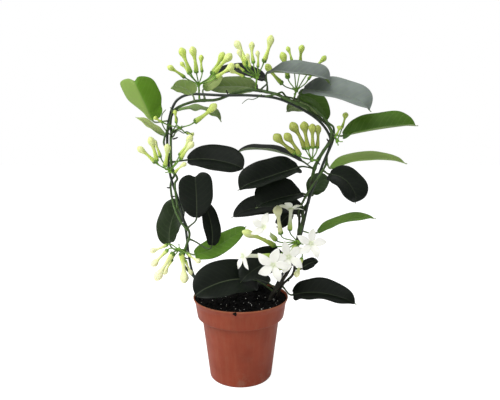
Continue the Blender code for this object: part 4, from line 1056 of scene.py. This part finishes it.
def rod_skin(route, radii, youth, sides, uneven, seed):
    """A round skin along a route, with its places round and along it in mm and its youth as marks. The radius
    wanders by the part `uneven`."""
    steps = np.linalg.norm(np.diff(route, axis=0), axis=1)
    along = np.concatenate([[0], np.cumsum(steps)])
    radii = np.asarray(radii, float) * tapered_ends(along, along[-1], 2.0)
    grid = turned(route, unit(np.gradient(route, axis=0)), radii, sides)
    outward = unit(grid - route[:, None])
    grid = grid + outward * (uneven * radii[:, None] * wobble(grid, 3.0, seed))[..., None]
    return skin(grid, place=spun(radii, along, sides), youth=np.reshape(youth, (-1, 1)))


def stem_mesh(name, lines):
    """A twining stem that thins from its foot to its tip, with a swelling 0.3 or 0.45 mm high at each leaf or
    cluster, and stubs of old stalks. It greens towards the tip."""
    foot, tip, _ = STEMS[name]
    route = smooth_route(lines[name][0], 1.5)
    part_way = np.linspace(0, 1, len(route))
    radii = foot + (tip - foot) * part_way
    for number, point in enumerate(attached_to(name)):
        at = nearest_on(route, point)[0]
        radii = radii + (0.45 if number % 2 else 0.3) * peak(np.arange(len(route)), at, 1.6)
    youth = through(STEM_YOUTH[name], part_way)
    skins = [rod_skin(route, radii, youth, ROUND_SIDES, 0.07, len(name))]
    for number, (stem, target, length) in enumerate(STUBS):
        if stem == name:
            start, out = stem_skin(lines, stem, target, 1.0)
            end = start + unit(out + (0, 0, 0.25)) * (length + 1.0)
            places, _ = bent(start, out, end, unit(end - start) + (0.2, 0, 0.3), np.linspace(0, 1, 9))
            radii = np.linspace(1.15, 0.75, 9)
            skins.append(rod_skin(places, radii, 0.1, THIN_SIDES, 0.12, SEEDS["stubs"] + number))
    if name == MAIN_STEM:
        for number, (radius, points) in enumerate(SHOOTS):
            loop = smooth_route(points, 1.0)
            radii = np.linspace(radius, 0.6 * radius, len(loop))
            skins.append(rod_skin(loop, radii, 0.8, THIN_SIDES, 0.05, SEEDS["shoots"] + number))
    return mesh_of(name + "_bark", skins)


# --- leaves --------------------------------------------------------------------------------------------
STALK_ROWS = 14
BLADE_ROWS = 42
TIP_POINT = [1.012, 1.024, 1.034]  # rows of the small sharp point, as parts of the blade's length
FOLD_FROM = 0.15  # the part of the blade over which its fold opens
FOLD_ROUND = 2.5  # the fold is rounded over this many mm at the midrib
BOW, MARGIN_DROP = 0.16, 0.05  # how far each half bows up and its margin drops, as parts of its half width
RIPPLE, RIPPLE_WIDTH = 0.7, 15  # uneven swells of the blade, in mm
QUILT = 0.12  # how far the blade stands over its side veins, in mm
GROOVE, RIB = 0.3, 0.9  # depth above and height below of the midrib, in mm
BASE_LOBES = 0.05  # how far the base's lobes pass the end of the stalk, as a part of the width
# places across the upper side, as parts of the half width: close together at the midrib and the margin
COLUMNS = np.array([0.0, 0.04, 0.09, 0.16, 0.26, 0.38, 0.51, 0.64, 0.76, 0.86, 0.935, 0.98, 1.0])


def blade_half_width(s, width, broad, blunt):
    """Half the blade's width at the part s of its length: width / 2 (1 - |2 s^broad - 1|^p)^q, a long ellipse
    that is broadest where s^broad is a half. p and q are 2.4 and 0.6 towards the base; towards the tip they
    go from there to 5.4 and 0.46 as the end gets blunter."""
    part = 2 * np.clip(s, 0, 1) ** broad - 1
    far = np.where(part > 0, blunt, 0)
    return (0.5 * width * np.clip(1 - np.abs(part) ** (2.4 + 3 * far), 0, 1) ** (0.6 - 0.14 * far)
            * (1 - 0.12 * (1 - blunt) * ease(0.7, 1, s)))


def carried_back(side, along):
    """The way across at the end of a stalk, carried back to its start: at each place it loses the part of it
    that lies along the stalk."""
    sides = [side]
    for way in along[::-1]:
        sides.append(unit(sides[-1] - sides[-1].dot(way) * way))
    return np.array(sides[:0:-1])


def leaf_route(lines, stem, base, middle, tip, facing, pointed):
    """A leaf's rows from its stem to its tip: how far each lies along the blade as a part of its length,
    below 0 on the stalk, its place, and the ways along, across and up. The midrib is the quadratic curve
    through base, middle and tip, and the stalk a cubic curve from the stem to the base."""
    control = 2 * middle - (base + tip) / 2
    length = np.linalg.norm(tip - base)
    # rows are closest at both ends of the blade
    s = 0.5 - 0.5 * np.cos(math.pi * np.linspace(0, 1, BLADE_ROWS))
    if pointed:
        s = np.append(s, TIP_POINT)
    inside = np.minimum(s, 1)[:, None]
    along = unit((1 - inside) * (control - base) + inside * (tip - control))
    places = ((1 - inside) ** 2 * base + 2 * inside * (1 - inside) * control + inside ** 2 * tip
              + along * length * (s[:, None] - inside))
    side, normal = square_to(along, facing)

    start, out = stem_skin(lines, stem, base, 1.0)
    t = np.linspace(0, 1, STALK_ROWS, endpoint=False)
    stalk, stalk_along = bent(start, out, base, along[0], t)
    stalk_side = carried_back(side[0], stalk_along)
    s = np.concatenate([(t - 1) * np.linalg.norm(base - start) / length, s])
    return (s, np.vstack([stalk, places]), np.vstack([stalk_along, along]), np.vstack([stalk_side, side]),
            np.vstack([np.cross(stalk_side, stalk_along), normal]))


def leaf_mesh(name, lines, plant):
    """A leaf's stalk and blade in one closed skin. Across it, a section folds up at the midrib, bows, waves
    at the margin, and is thick at the midrib and thin at the margin: half thickness (1 - |u|^8)^0.5, with a
    groove above and a round rib below. The middle of the tip hangs by the hook, and a notched tip lies behind
    its two lobes. Towards the stalk the section closes to a round one."""
    stem, base, middle, tip, width, facing, fold, own = LEAVES[name]
    look = {**LEAF_DEFAULTS, **own}
    base, middle, tip = (np.asarray(p, float) for p in (base, middle, tip))
    length, seed = np.linalg.norm(tip - base), seed_of(name)
    s, places, along, side, normal = leaf_route(
        lines, stem, base, middle, tip, unit(facing), pointed=not look["notch"])

    # once round a section: over the upper side from left to right, and back under it
    column = np.concatenate([-COLUMNS[:0:-1], COLUMNS, COLUMNS[-2:0:-1], [0.0], -COLUMNS[1:-1]])
    upper = np.arange(len(column)) < 2 * len(COLUMNS) - 1
    from_stem = (s - s[0]) * length
    stalk_radius = plant.stalk_radius / MM * (1.0 + 0.45 * peak(from_stem, 0, 3) + 0.25 * peak(s, 0, 0.05))
    flatness = ease(0.0, 0.07, s)
    point = (0.3 if look["notch"] else 0.9) * np.clip((1.045 - s) / 0.075, 0, 1) * (s > 0.9)
    ends = (stalk_radius * (1 - flatness)) ** 2 + point ** 2
    halves = [blade_half_width(s, width, look["broad"] + lean, look["blunt"])
              for lean in (look["lean"], -look["lean"])]
    blade = np.mean(halves, axis=0)
    left, right = (np.sqrt(half ** 2 + ends)[:, None] for half in halves)
    x = np.where(column < 0, left, right) * column
    u = np.broadcast_to(np.abs(column), x.shape)

    # how far the middle of the section stands over the midrib
    angle = math.radians(fold) * np.clip(s / FOLD_FROM, 0, 1)
    seat = ease(0.02, 0.3, s) * (1 - 0.5 * ease(0.9, 1, s))
    up = np.sin(angle)[:, None] * (np.sqrt(x ** 2 + FOLD_ROUND ** 2) - FOLD_ROUND)
    up = up + (BOW * blade * seat)[:, None] * (u - u ** 2)
    up = up - (MARGIN_DROP * blade * seat)[:, None] * u ** 6
    rng = np.random.default_rng(seed)
    waves, left_start, right_start = rng.uniform(1.6, 2.6), rng.uniform(0, 6.28), rng.uniform(0, 6.28)
    phase = np.where(column < 0, left_start, right_start) + 2 * math.pi * waves * s[:, None]
    up = up + look["wave"] * seat[:, None] * u ** 2.5 * np.sin(phase)
    up = up - look["hook"] * ease(0.86, 1.04, s)[:, None] * peak(x, 0, 9)
    flat_places = places[:, None] + x[..., None] * side[:, None]
    up = up + flatness[:, None] * RIPPLE * u ** 0.5 * wobble(flat_places, RIPPLE_WIDTH, seed)

    # its upper and under skin: the blade between the side veins stands a little over them
    row = s[:, None] * length - np.abs(x) * (VEIN_SLANT + VEIN_BEND * np.abs(x))
    quilt = QUILT * np.cos(2 * math.pi * row / (plant.vein_spacing / MM)) * u * (1 - u ** 4)
    flat = plant.leaf_thickness / MM / 2 * np.sqrt(np.clip(1 - u ** 8, 0, 1))
    rod = stalk_radius[:, None] * np.sqrt(np.clip(1 - u ** 2, 0, 1))
    body = flatness[:, None] * flat + (1 - flatness)[:, None] * rod
    groove = GROOVE * flatness[:, None] * peak(x, 0, 0.7) * (blade > 3)[:, None]
    rib = RIB * (flatness * (1 - 0.75 * np.clip(s, 0, 1)))[:, None] * peak(x, 0, 1.2)
    up = up + (np.where(upper, body - groove, -body - rib) - flatness[:, None] * quilt)

    # a notched tip lies behind its lobes, and a rounded base's lobes pass the end of the stalk
    ahead = 0.9 * np.maximum(-look["lean"] * x, 0) - look["notch"] * peak(x, 0, 4.5)
    forward = ahead * ease(0.5, 1, s)[:, None]
    at_base = (ease(0, 0.02, s) * (1 - ease(0.02, 0.22, s)))[:, None]
    forward = forward - BASE_LOBES * width * u ** 1.5 * at_base
    grid = swept(places, side, normal, x * np.cos(angle)[:, None], up) + forward[..., None] * along[:, None]

    above = upper[:-1] & upper[1:]
    finish = np.where((s[:-1, None] >= 0) & np.append(above, False), 0, 1)
    place = np.stack([x, np.broadcast_to(s[:, None] * length, x.shape) + forward, 0 * x], axis=-1)
    # the painted sheen and the paler green are weaker near the stalk; the painted light on the left half is
    # added
    #     # to the paler green
    spread = (0.35 + 0.65 * ease(0, 0.4, s))[:, None]
    return mesh_of(name + "_blade", [skin(
        grid, finish, place=place, stalk=(1 - ease(-0.01, 0.05, s))[:, None],
        rib=look["rib"] * (1 - 0.6 * ease(0.1, 0.95, s))[:, None],
        pale=look["pale"] * spread + look["left_pale"] * ease(0, 1, -x),
        youth=look["youth"], bloom=look["bloom"] * spread)])


# --- buds and flowers ----------------------------------------------------------------------------------
LOBES = 5  # of a calyx, a head, a tube and the throat's crown, and a flower's petals
BUD_LENGTH = 32.0
SMALLEST_BUD, LARGEST_BUD = 0.6, 1.1
BUD_SIDES = 20
# the closed flower from its foot to its point, as (part of the length, radius in mm at a length of 32 mm)
BUD_SHAPE = [(0, 1.4), (0.03, 2.1), (0.09, 2.75), (0.17, 2.8), (0.27, 2.35), (0.4, 1.95), (0.5, 1.9),
             (0.58, 2.2), (0.65, 2.8), (0.72, 3.6), (0.79, 4.2), (0.85, 4.2), (0.91, 3.4), (0.96, 2.1),
             (0.99, 0.9), (1, 0.2)]
# a calyx's rings from the foot up its outside and back down inside, as parts of the rim's height
CALYX_RINGS = np.array([0, 0, 0.5, 1, 0.9, 0.3])
# in mm: the rim's height between its points, the points' height over that, how far the foot is sunk, and the
# radii of the rings
BUD_CALYX = (1.2, 2.4, 0.6, [0.9, 2.4, 3.05, 3.1, 2.7, 2.0])
FLOWER_CALYX = (1.4, 2.6, 0.8, [0.9, 2.5, 3.0, 3.2, 2.8, 2.0])
PEDICEL_RADIUS = 0.75
PEDICEL_ROWS = 12
PEDUNCLE_RADIUS = 1.2
KNOB_RADIUS = 2.4


def rod_between(start, out, end, into, radius, seed, rows=PEDICEL_ROWS):
    """A thin bent stalk, thicker at both ends, with marks like a bud's."""
    t = np.linspace(0, 1, rows)
    places, along = bent(start, out, end, into, t)
    radii = radius * (1 + 0.25 * peak(t, 0, 0.12) + 0.35 * peak(t, 1, 0.1))
    grid = turned(places, along, radii, THIN_SIDES)
    grid = grid + 0.08 * wobble(grid, 2.0, seed)[..., None]
    return skin(grid, 1, ripe=0.0)


def calyx_skin(foot, axis, along, form, size, **marks):
    """A thin cup whose rim runs up into five points: at the angle a it stands low + points |cos(2.5 a)|^1.5
    over the foot."""
    low, points, sunk, radii = form
    angle = angles_round(BUD_SIDES)
    rim = (low + points * np.abs(np.cos(LOBES / 2 * angle)) ** 1.5) * size
    up = CALYX_RINGS[:, None] * rim
    up[0] -= sunk
    side, normal = square_to(along, REFERENCE)
    ring = np.cos(angle)[:, None] * side + np.sin(angle)[:, None] * normal
    return skin(foot + ring * (np.array(radii) * size)[:, None, None] + up[..., None] * axis, 1, **marks)


def bud_skins(start, foot, tip, ripeness, fullness, seed):
    """A bud's stalk, its calyx, and the closed flower: a swollen foot, a narrow tube and a head of five lobes
    wound round each other. The radius in the head is r (1 + 0.075 cos(5a + twist))."""
    start, foot, tip = (np.asarray(p, float) for p in (start, foot, tip))
    rng = np.random.default_rng(seed)
    axis, length = unit(tip - foot), np.linalg.norm(tip - foot)
    size = np.clip(length / BUD_LENGTH, SMALLEST_BUD, LARGEST_BUD)
    bow = unit(np.cross(axis, rng.normal(size=3))) * 0.035 * length
    t = np.unique(np.concatenate([np.linspace(0, 0.85, 20), 1 - 0.15 * np.cos(np.linspace(0, 1.5, 9))]))
    places = foot + axis * (t * length)[:, None] + bow * np.sin(math.pi * t)[:, None]
    along = unit(axis + bow * (math.pi / length * np.cos(math.pi * t))[:, None])
    radii = through(BUD_SHAPE, t) * size
    head = ease(0.6, 0.75, t)
    radii = radii * (1 + (fullness - 1) * head)
    angle = angles_round(BUD_SIDES)
    wound = 0.075 * head[:, None] * np.cos(LOBES * angle + 7 * t[:, None] + rng.uniform(0, 6))
    ribbed = 0.03 * (1 - head)[:, None] * np.cos(LOBES * angle)
    grid = turned(places, along, radii[:, None] * (1 + wound + ribbed), BUD_SIDES)
    ripe = ripeness + rng.uniform(-0.08, 0.08) + 0.12 * head - 0.3 * (1 - ease(0.05, 0.6, t))
    flower = skin(grid, 0, ripe=ripe[:, None])
    calyx = calyx_skin(foot, axis, along[0], BUD_CALYX, size, ripe=0.0)
    stalk = rod_between(start, foot - start + 0.4 * axis, foot, axis, PEDICEL_RADIUS, seed)
    return [flower, calyx, stalk]


def knob_skin(centre, radius, seed):
    """A lumpy ball: rings at radius cos(a) over its middle, each of radius sin(a) times its own, moved in and
    out by noise."""
    a = np.linspace(0.12, math.pi - 0.12, 10)
    places = centre + np.outer(np.cos(a) * radius, (0, 0, 1))
    grid = turned(places, np.broadcast_to((0.0, 0.0, 1.0), (10, 3)), radius * np.sin(a), 14)
    grid = grid + unit(grid - centre) * 0.45 * wobble(grid, 1.6, seed)[..., None]
    return skin(grid, 1, ripe=0.0)


def cluster_base(lines, stem, centre, radius, seed):
    """The knob, the stalk that carries it, and four stubs of flowers that have dropped."""
    start, out = stem_skin(lines, stem, centre, 0.8)
    rng = np.random.default_rng(seed)
    skins = [knob_skin(centre, radius, seed),
             rod_between(start, out, centre, centre - start, PEDUNCLE_RADIUS, seed + 1)]
    for way in unit(rng.normal(size=(4, 3)) + 0.5 * unit(centre - start)):
        end = centre + way * (radius + rng.uniform(2.5, 5))
        skins.append(rod_between(centre, way, end, way + (0, 0, 0.4), 0.6, seed + 2, rows=6))
    return skins


def bud_cluster_mesh(name, lines):
    """A knob on its stalk with its buds round it, in one mesh."""
    stem, centre, buds = BUD_CLUSTERS[name]
    centre, seed = np.asarray(centre, float), seed_of(name)
    ripeness, fullness = BUD_LOOKS[name]
    skins = cluster_base(lines, stem, centre, KNOB_RADIUS, seed)
    for number, (foot, tip) in enumerate(buds):
        start = centre + unit(np.subtract(foot, centre)) * 1.0
        skins += bud_skins(start, foot, tip, ripeness, fullness, seed + number)
    return mesh_of(name + "_cluster", skins)


def open_cluster_start(foot):
    """Where a flower's own stalk begins, at the open cluster's knob."""
    centre = np.asarray(CLUSTER_KNOB, float)
    return centre + unit(np.subtract(foot, centre)) * (CLUSTER_KNOB_RADIUS - 0.5)


STAR_RADIUS = 20  # of the star that the petals' widths are given for
# half the petal's width and its half thickness along it, in mm
PETAL_WIDTH = [(0, 2.1), (0.15, 3.4), (0.35, 4.8), (0.5, 5.0), (0.65, 4.4), (0.8, 3.1), (0.92, 1.5),
               (1, 0.15)]
PETAL_THICKNESS = [(0, 0.5), (0.5, 0.45), (1, 0.22)]
PETAL_FOOT = 1.2  # from the star's middle to where the petals start
TUBE_SHAPE = [(0, 1.6), (0.06, 2.8), (0.15, 3.2), (0.3, 2.7), (0.5, 2.2), (0.7, 2.1), (0.88, 2.3), (1, 3.0)]
TUBE_ROWS = 24
NO_PLACE = np.zeros((1, 1, 3))  # of a part without a petal's ribs


def petal_skins(centre, facing, radius, lift, turn):
    """Five petals round the star's middle. Each lies on a plane that rises by `lift`; across it the surface
    tilts like a windmill's sail and its margins stand up by 0.012 to 0.03 x^2, and its outer half curls back.
    A groove runs along its middle on both sides."""
    facing = unit(facing)
    right = unit(np.cross((0, 0, 1), facing))
    top = np.cross(facing, right)
    t = 0.5 - 0.5 * np.cos(math.pi * np.linspace(0, 1, 22))[:, None]
    columns = np.sin(np.linspace(-1, 1, 11) * math.pi / 2)
    column = np.concatenate([columns, columns[-2:0:-1]])
    upper = np.arange(len(column)) < len(columns)
    face = np.where(upper, 1, -1)
    scale = radius / STAR_RADIUS
    x = through(PETAL_WIDTH, t) * scale * column
    out = (PETAL_FOOT + (radius - PETAL_FOOT) * t) * np.ones_like(x)
    thick = through(PETAL_THICKNESS, t) * np.sqrt(np.clip(1 - column ** 6, 0, 1))
    groove = 0.22 * peak(x, 0, 0.8) * (1 - t)
    lift = math.radians(lift)
    green = 0.5 * (1 - ease(PETAL_FOOT, 4.5, out)) * np.where(upper, 1, 1.2) + np.where(upper, 0, 0.1)
    skins = []
    for number in range(LOBES):
        rng = np.random.default_rng(int(radius * 100 + turn) + number)
        angle = math.radians(turn + 360 / LOBES * number)
        ahead = math.cos(angle) * right + math.sin(angle) * top
        across = -math.sin(angle) * right + math.cos(angle) * top
        curl = rng.uniform(1.5, 4.0) * scale * ease(0.45, 1.1, t) ** 1.6
        rise = out * math.sin(lift) - curl + 0.18 * x + rng.uniform(0.012, 0.03) * x ** 2 / scale
        rise = rise + face * thick - face * groove
        bend = 1.1 * scale * np.sin(math.pi * t) + rng.uniform(-0.4, 0.4) * t
        grid = (centre + (out * math.cos(lift))[..., None] * ahead + (x + bend)[..., None] * across
                + rise[..., None] * facing)
        skins.append(skin(grid, green=green, place=np.stack([x, out, 0 * x], axis=-1)))
    return skins


def flower_mesh(name):
    """An open flower: stalk, calyx, a tube that bends to the star, five petals, and the small crown of five
    scales that closes the throat."""
    foot, centre, facing, radius, lift, turn = FLOWERS[name]
    foot, centre, facing = np.asarray(foot, float), np.asarray(centre, float), unit(facing)
    start, axis, angle = open_cluster_start(foot), unit(centre - foot), angles_round(BUD_SIDES)
    t = np.linspace(0, 1, TUBE_ROWS)
    places, along = bent(foot, axis, centre - facing * 0.4, facing + 0.4 * axis, t, 0.3)
    radii = through(TUBE_SHAPE, t)[:, None] * (1 + 0.05 * np.cos(LOBES * angle))
    tube = skin(turned(places, along, radii, BUD_SIDES),
                green=(1 - 0.8 * ease(0.15, 0.7, t))[:, None], place=NO_PLACE)
    calyx = calyx_skin(foot, axis, along[0], FLOWER_CALYX, 1, green=1.0, place=NO_PLACE)

    t = np.linspace(0, 1, PEDICEL_ROWS)
    places, along = bent(start, foot - start, foot, axis, t)
    radii = PEDICEL_RADIUS * (1 + 0.4 * peak(t, 1, 0.12))
    stalk = skin(turned(places, along, radii, THIN_SIDES), 1, green=1.0, place=NO_PLACE)

    # the crown: a dome of height 1.3 and radius 1.9, drawn out at its five scales
    a = np.linspace(0.1, math.pi / 2, 7)
    places = centre + facing * (1.3 * np.cos(a))[:, None]
    radii = (1.9 * np.sin(a))[:, None] * (1 + 0.28 * np.cos(LOBES * angle))
    crown = skin(turned(places, np.broadcast_to(facing, (7, 3)), radii, BUD_SIDES), green=0.4, place=NO_PLACE)
    petals = petal_skins(centre, facing, radius, lift, turn)
    return mesh_of(name + "_bloom", [tube, calyx, stalk, crown, *petals])


# --- stage ---------------------------------------------------------------------------------------------
# the stage is in metres
CAMERA_PLACE = (0.0118, -0.5825, 0.307)
CAMERA_DIP = 0.138  # radians below level
CAMERA_LENS, CAMERA_SENSOR = 34.2, 36  # in mm
FLOOR_HALF = 4.0
LAMP_AIM = (0.0, 0.0, 0.22)
# name: the setting of its power, its width, its place
LAMPS = {
    "front_lamp": ("lamp_power", 0.9, (-0.4, -0.95, 1.2)),
    "left_lamp": ("left_power", 0.8, (-0.95, -0.2, 0.95)),
}


def lay_floor(stage):
    """A wide pale floor. To the camera it also glows, so that it runs to white and keeps a soft shadow."""
    mesh = bpy.data.meshes.new("floor")
    corners = [(x * FLOOR_HALF, y * FLOOR_HALF, 0) for x, y in ((-1, -1), (1, -1), (1, 1), (-1, 1))]
    mesh.from_pydata(corners, [], [(0, 1, 2, 3)])
    material = bpy.data.materials.new("painted_floor")
    tree = bare_tree(material)
    seen = (add_node(tree, "ShaderNodeLightPath"), "Is Camera Ray")
    glow = add_node(tree, MATH, {0: seen, 1: stage.floor_glow}, operation="MULTIPLY")
    share = add_node(tree, RANGE, {"Value": seen, "To Min": 1.0, "To Max": 0.55})
    shade = add_node(tree, MIX, {"Factor": share, "A": (0, 0, 0), "B": stage.floor}, **COLOURS)
    matt = add_node(tree, "ShaderNodeBsdfDiffuse", {"Color": shade})
    light = add_node(tree, "ShaderNodeEmission", {"Color": (1, 1, 1), "Strength": glow})
    both = add_node(tree, "ShaderNodeAddShader", {0: matt, 1: light})
    add_node(tree, "ShaderNodeOutputMaterial", {"Surface": both})
    mesh.materials.append(material)
    linked("floor", mesh)


def light_room(stage):
    """A room of soft light, strong from above and weak from the front and the back, that the camera sees as
    plain white, with one large lamp over its left shoulder and one high at the left."""
    world = bpy.data.worlds.new("white_room")
    bpy.context.scene.world = world
    tree = bare_tree(world)
    apart = add_node(tree, SEPARATE, {0: (add_node(tree, "ShaderNodeTexCoord"), "Generated")})
    back = add_node(tree, RANGE, {"Value": (apart, "Y"), "From Min": -0.6, "From Max": 0.5,
                                  "To Min": stage.sky_front, "To Max": stage.sky_back})
    top = add_node(tree, RANGE, {"Value": (apart, "Z"), "From Min": 0.25, "From Max": 0.85})
    room = add_node(tree, MIX, {"Factor": top, "A": back, "B": stage.sky_top}, data_type="FLOAT")
    seen = (add_node(tree, "ShaderNodeLightPath"), "Is Camera Ray")
    shown = add_node(tree, MIX, {"Factor": seen, "A": room, "B": 1.0}, data_type="FLOAT")
    light = add_node(tree, "ShaderNodeBackground", {"Color": (1, 1, 1), "Strength": shown})
    add_node(tree, "ShaderNodeOutputWorld", {"Surface": light})

    for name, (power, size, place) in LAMPS.items():
        lamp = bpy.data.lights.new(name, "AREA")
        lamp.energy, lamp.size = getattr(stage, power), size
        holder = linked(name, lamp)
        holder.location = place
        aim = Vector(LAMP_AIM) - holder.location
        holder.rotation_euler = aim.to_track_quat("-Z", "Y").to_euler()


def place_camera(scene):
    """A camera in front of the plant that looks a little down along +Y."""
    camera = bpy.data.cameras.new("camera")
    camera.lens, camera.sensor_width = CAMERA_LENS, CAMERA_SENSOR
    holder = linked("camera", camera)
    holder.location = CAMERA_PLACE
    holder.rotation_euler = (math.pi / 2 - CAMERA_DIP, 0, 0)
    scene.camera = holder


# --- operators -----------------------------------------------------------------------------------------
class JASMINE_OT_pot(bpy.types.Operator):
    """Turn the nursery pot and drill its drain holes"""
    bl_idname = "jasmine.pot"
    bl_label = "Pot"

    def execute(self, context):
        pot = context.scene.jasmine_pot
        piece("pot_shell", "pot", pot_mesh(pot), [moulded_polypropylene(pot)])
        return {"FINISHED"}


class JASMINE_OT_mix(bpy.types.Operator):
    """Fill the pot with mix, crumbs and perlite"""
    bl_idname = "jasmine.mix"
    bl_label = "Potting mix"

    def execute(self, context):
        pot = context.scene.jasmine_pot
        peat, perlite = damp_peat(pot), expanded_perlite(pot)
        piece("mix_fill", "potting_mix", mix_mesh(pot), [peat])
        # crumbs of 0.4 to 2 mm in half width, most of them small, and those that lie on the lip
        places, rng = scattered(pot.crumbs, SCATTER_RADIUS, SEEDS["crumb_places"])
        sizes = 0.4 + 1.6 * rng.uniform(0, 1, pot.crumbs) ** 3
        places, sizes = np.vstack([places, LIP_CRUMBS]), np.append(sizes, LIP_CRUMB_SIZES)
        crumbs = grains_mesh("mix_crumbs", places, sizes, SEEDS["crumb_shapes"], 2.2)
        piece("mix_crumbs", None, crumbs, [peat])
        # perlite of 0.25 to 1.25 mm in half width, more of it at the front
        places, rng = scattered(pot.grains, SCATTER_RADIUS - 2, SEEDS["grain_places"], 0.7)
        sizes = 0.25 + 1.0 * rng.uniform(0, 1, pot.grains) ** 2.5
        grains = grains_mesh("mix_perlite", places, sizes, SEEDS["grain_shapes"], 1.2)
        piece("mix_perlite", None, grains, [perlite])
        return {"FINISHED"}


class JASMINE_OT_hoop(bpy.types.Operator):
    """Bend the wire hoop"""
    bl_idname = "jasmine.hoop"
    bl_label = "Hoop"

    def execute(self, context):
        route = smooth_route(hoop_and_stem_lines()["hoop_wire"][0], 2.0)
        wire = rod_skin(route, np.full(len(route), WIRE_RADIUS), 0.0, ROUND_SIDES, 0.02, SEEDS["wire"])
        piece("hoop_rod", "hoop_wire", mesh_of("hoop_rod", [wire]),
              [dipped_wire(context.scene.jasmine_pot)])
        return {"FINISHED"}


class JASMINE_OT_stems(bpy.types.Operator):
    """Twine the three stems round the hoop"""
    bl_idname = "jasmine.stems"
    bl_label = "Stems"

    def execute(self, context):
        lines, bark = hoop_and_stem_lines(), vine_bark(context.scene.jasmine_plant)
        for name in STEMS:
            piece(name + "_bark", name, stem_mesh(name, lines), [bark])
        return {"FINISHED"}


class JASMINE_OT_leaves(bpy.types.Operator):
    """Grow the leaves"""
    bl_idname = "jasmine.leaves"
    bl_label = "Leaves"

    def execute(self, context):
        plant, lines = context.scene.jasmine_plant, hoop_and_stem_lines()
        sides = [leaf_upper_side(plant), leaf_under_side(plant)]
        for name, row in LEAVES.items():
            piece(name + "_blade", name,
                  leaf_mesh(name, lines, plant), sides)
        return {"FINISHED"}


class JASMINE_OT_buds(bpy.types.Operator):
    """Set the clusters of buds"""
    bl_idname = "jasmine.buds"
    bl_label = "Buds"

    def execute(self, context):
        plant, lines = context.scene.jasmine_plant, hoop_and_stem_lines()
        fresh, dulled, green = waxy_bud(plant), weathered_bud(plant), green_stalk(plant)
        for name in BUD_CLUSTERS:
            bud = dulled if name == DULLED_CLUSTER else fresh
            piece(name + "_cluster", name, bud_cluster_mesh(name, lines), [bud, green])
        return {"FINISHED"}


class JASMINE_OT_flowers(bpy.types.Operator):
    """Open the cluster of star flowers"""
    bl_idname = "jasmine.flowers"
    bl_label = "Flowers"

    def execute(self, context):
        plant, lines = context.scene.jasmine_plant, hoop_and_stem_lines()
        green, petal, bud = green_stalk(plant), waxy_petal(plant), waxy_bud(plant)
        base = cluster_base(
            lines, MAIN_STEM, np.asarray(CLUSTER_KNOB, float), CLUSTER_KNOB_RADIUS, SEEDS["open_cluster"])
        piece("flower_cluster_knob", "flower_cluster_stalk",
              mesh_of("flower_cluster_knob", base), [bud, green])
        for name in FLOWERS:
            piece(name + "_bloom", name, flower_mesh(name), [petal, green])
        for name, (foot, tip, ripeness, fullness) in CLUSTER_BUDS.items():
            skins = bud_skins(open_cluster_start(foot), foot, tip, ripeness, fullness, seed_of(name))
            piece(name + "_closed", name, mesh_of(name + "_closed", skins), [bud, green])
        return {"FINISHED"}


class JASMINE_OT_stage(bpy.types.Operator):
    """Lay the floor, light the room and place the camera"""
    bl_idname = "jasmine.stage"
    bl_label = "Stage"

    def execute(self, context):
        stage = context.scene.jasmine_stage
        scene = context.scene
        lay_floor(stage)
        light_room(stage)
        place_camera(scene)
        scene.view_settings.view_transform = "Standard"
        return {"FINISHED"}


class JASMINE_PT_panel(bpy.types.Panel):
    """The pieces of the plant in the order in which they are made"""
    bl_idname = "JASMINE_PT_panel"
    bl_label = "Jasmine on a hoop"
    bl_space_type = "VIEW_3D"
    bl_region_type = "UI"
    bl_category = "Jasmine"

    def draw(self, context):
        for name, operators in GROUPS.items():
            box = self.layout.box()
            settings = getattr(context.scene, name)
            for key in type(settings).__annotations__:
                box.prop(settings, key)
            for operator in operators:
                box.operator(operator.bl_idname)


GROUPS = {
    "jasmine_pot": (JASMINE_OT_pot, JASMINE_OT_mix, JASMINE_OT_hoop),
    "jasmine_plant": (JASMINE_OT_stems, JASMINE_OT_leaves, JASMINE_OT_buds, JASMINE_OT_flowers),
    "jasmine_stage": (JASMINE_OT_stage,),
}
SETTINGS = {"jasmine_pot": JasminePot, "jasmine_plant": JasminePlant, "jasmine_stage": JasmineStage}


def register():
    """Make the settings, the operators and the panel known."""
    for name, group in SETTINGS.items():
        bpy.utils.register_class(group)
        setattr(bpy.types.Scene, name, bpy.props.PointerProperty(type=group))
    for operators in GROUPS.values():
        for operator in operators:
            bpy.utils.register_class(operator)
    bpy.utils.register_class(JASMINE_PT_panel)


def unregister():
    """Take them away again, the last first."""
    bpy.utils.unregister_class(JASMINE_PT_panel)
    for operators in GROUPS.values():
        for operator in operators:
            bpy.utils.unregister_class(operator)
    for name, group in SETTINGS.items():
        delattr(bpy.types.Scene, name)
        bpy.utils.unregister_class(group)


def main():
    """Make every piece and the stage."""
    register()
    bpy.ops.jasmine.pot()
    bpy.ops.jasmine.mix()
    bpy.ops.jasmine.hoop()
    bpy.ops.jasmine.stems()
    bpy.ops.jasmine.leaves()
    bpy.ops.jasmine.buds()
    bpy.ops.jasmine.flowers()
    bpy.ops.jasmine.stage()


if __name__ == "__main__":
    main()
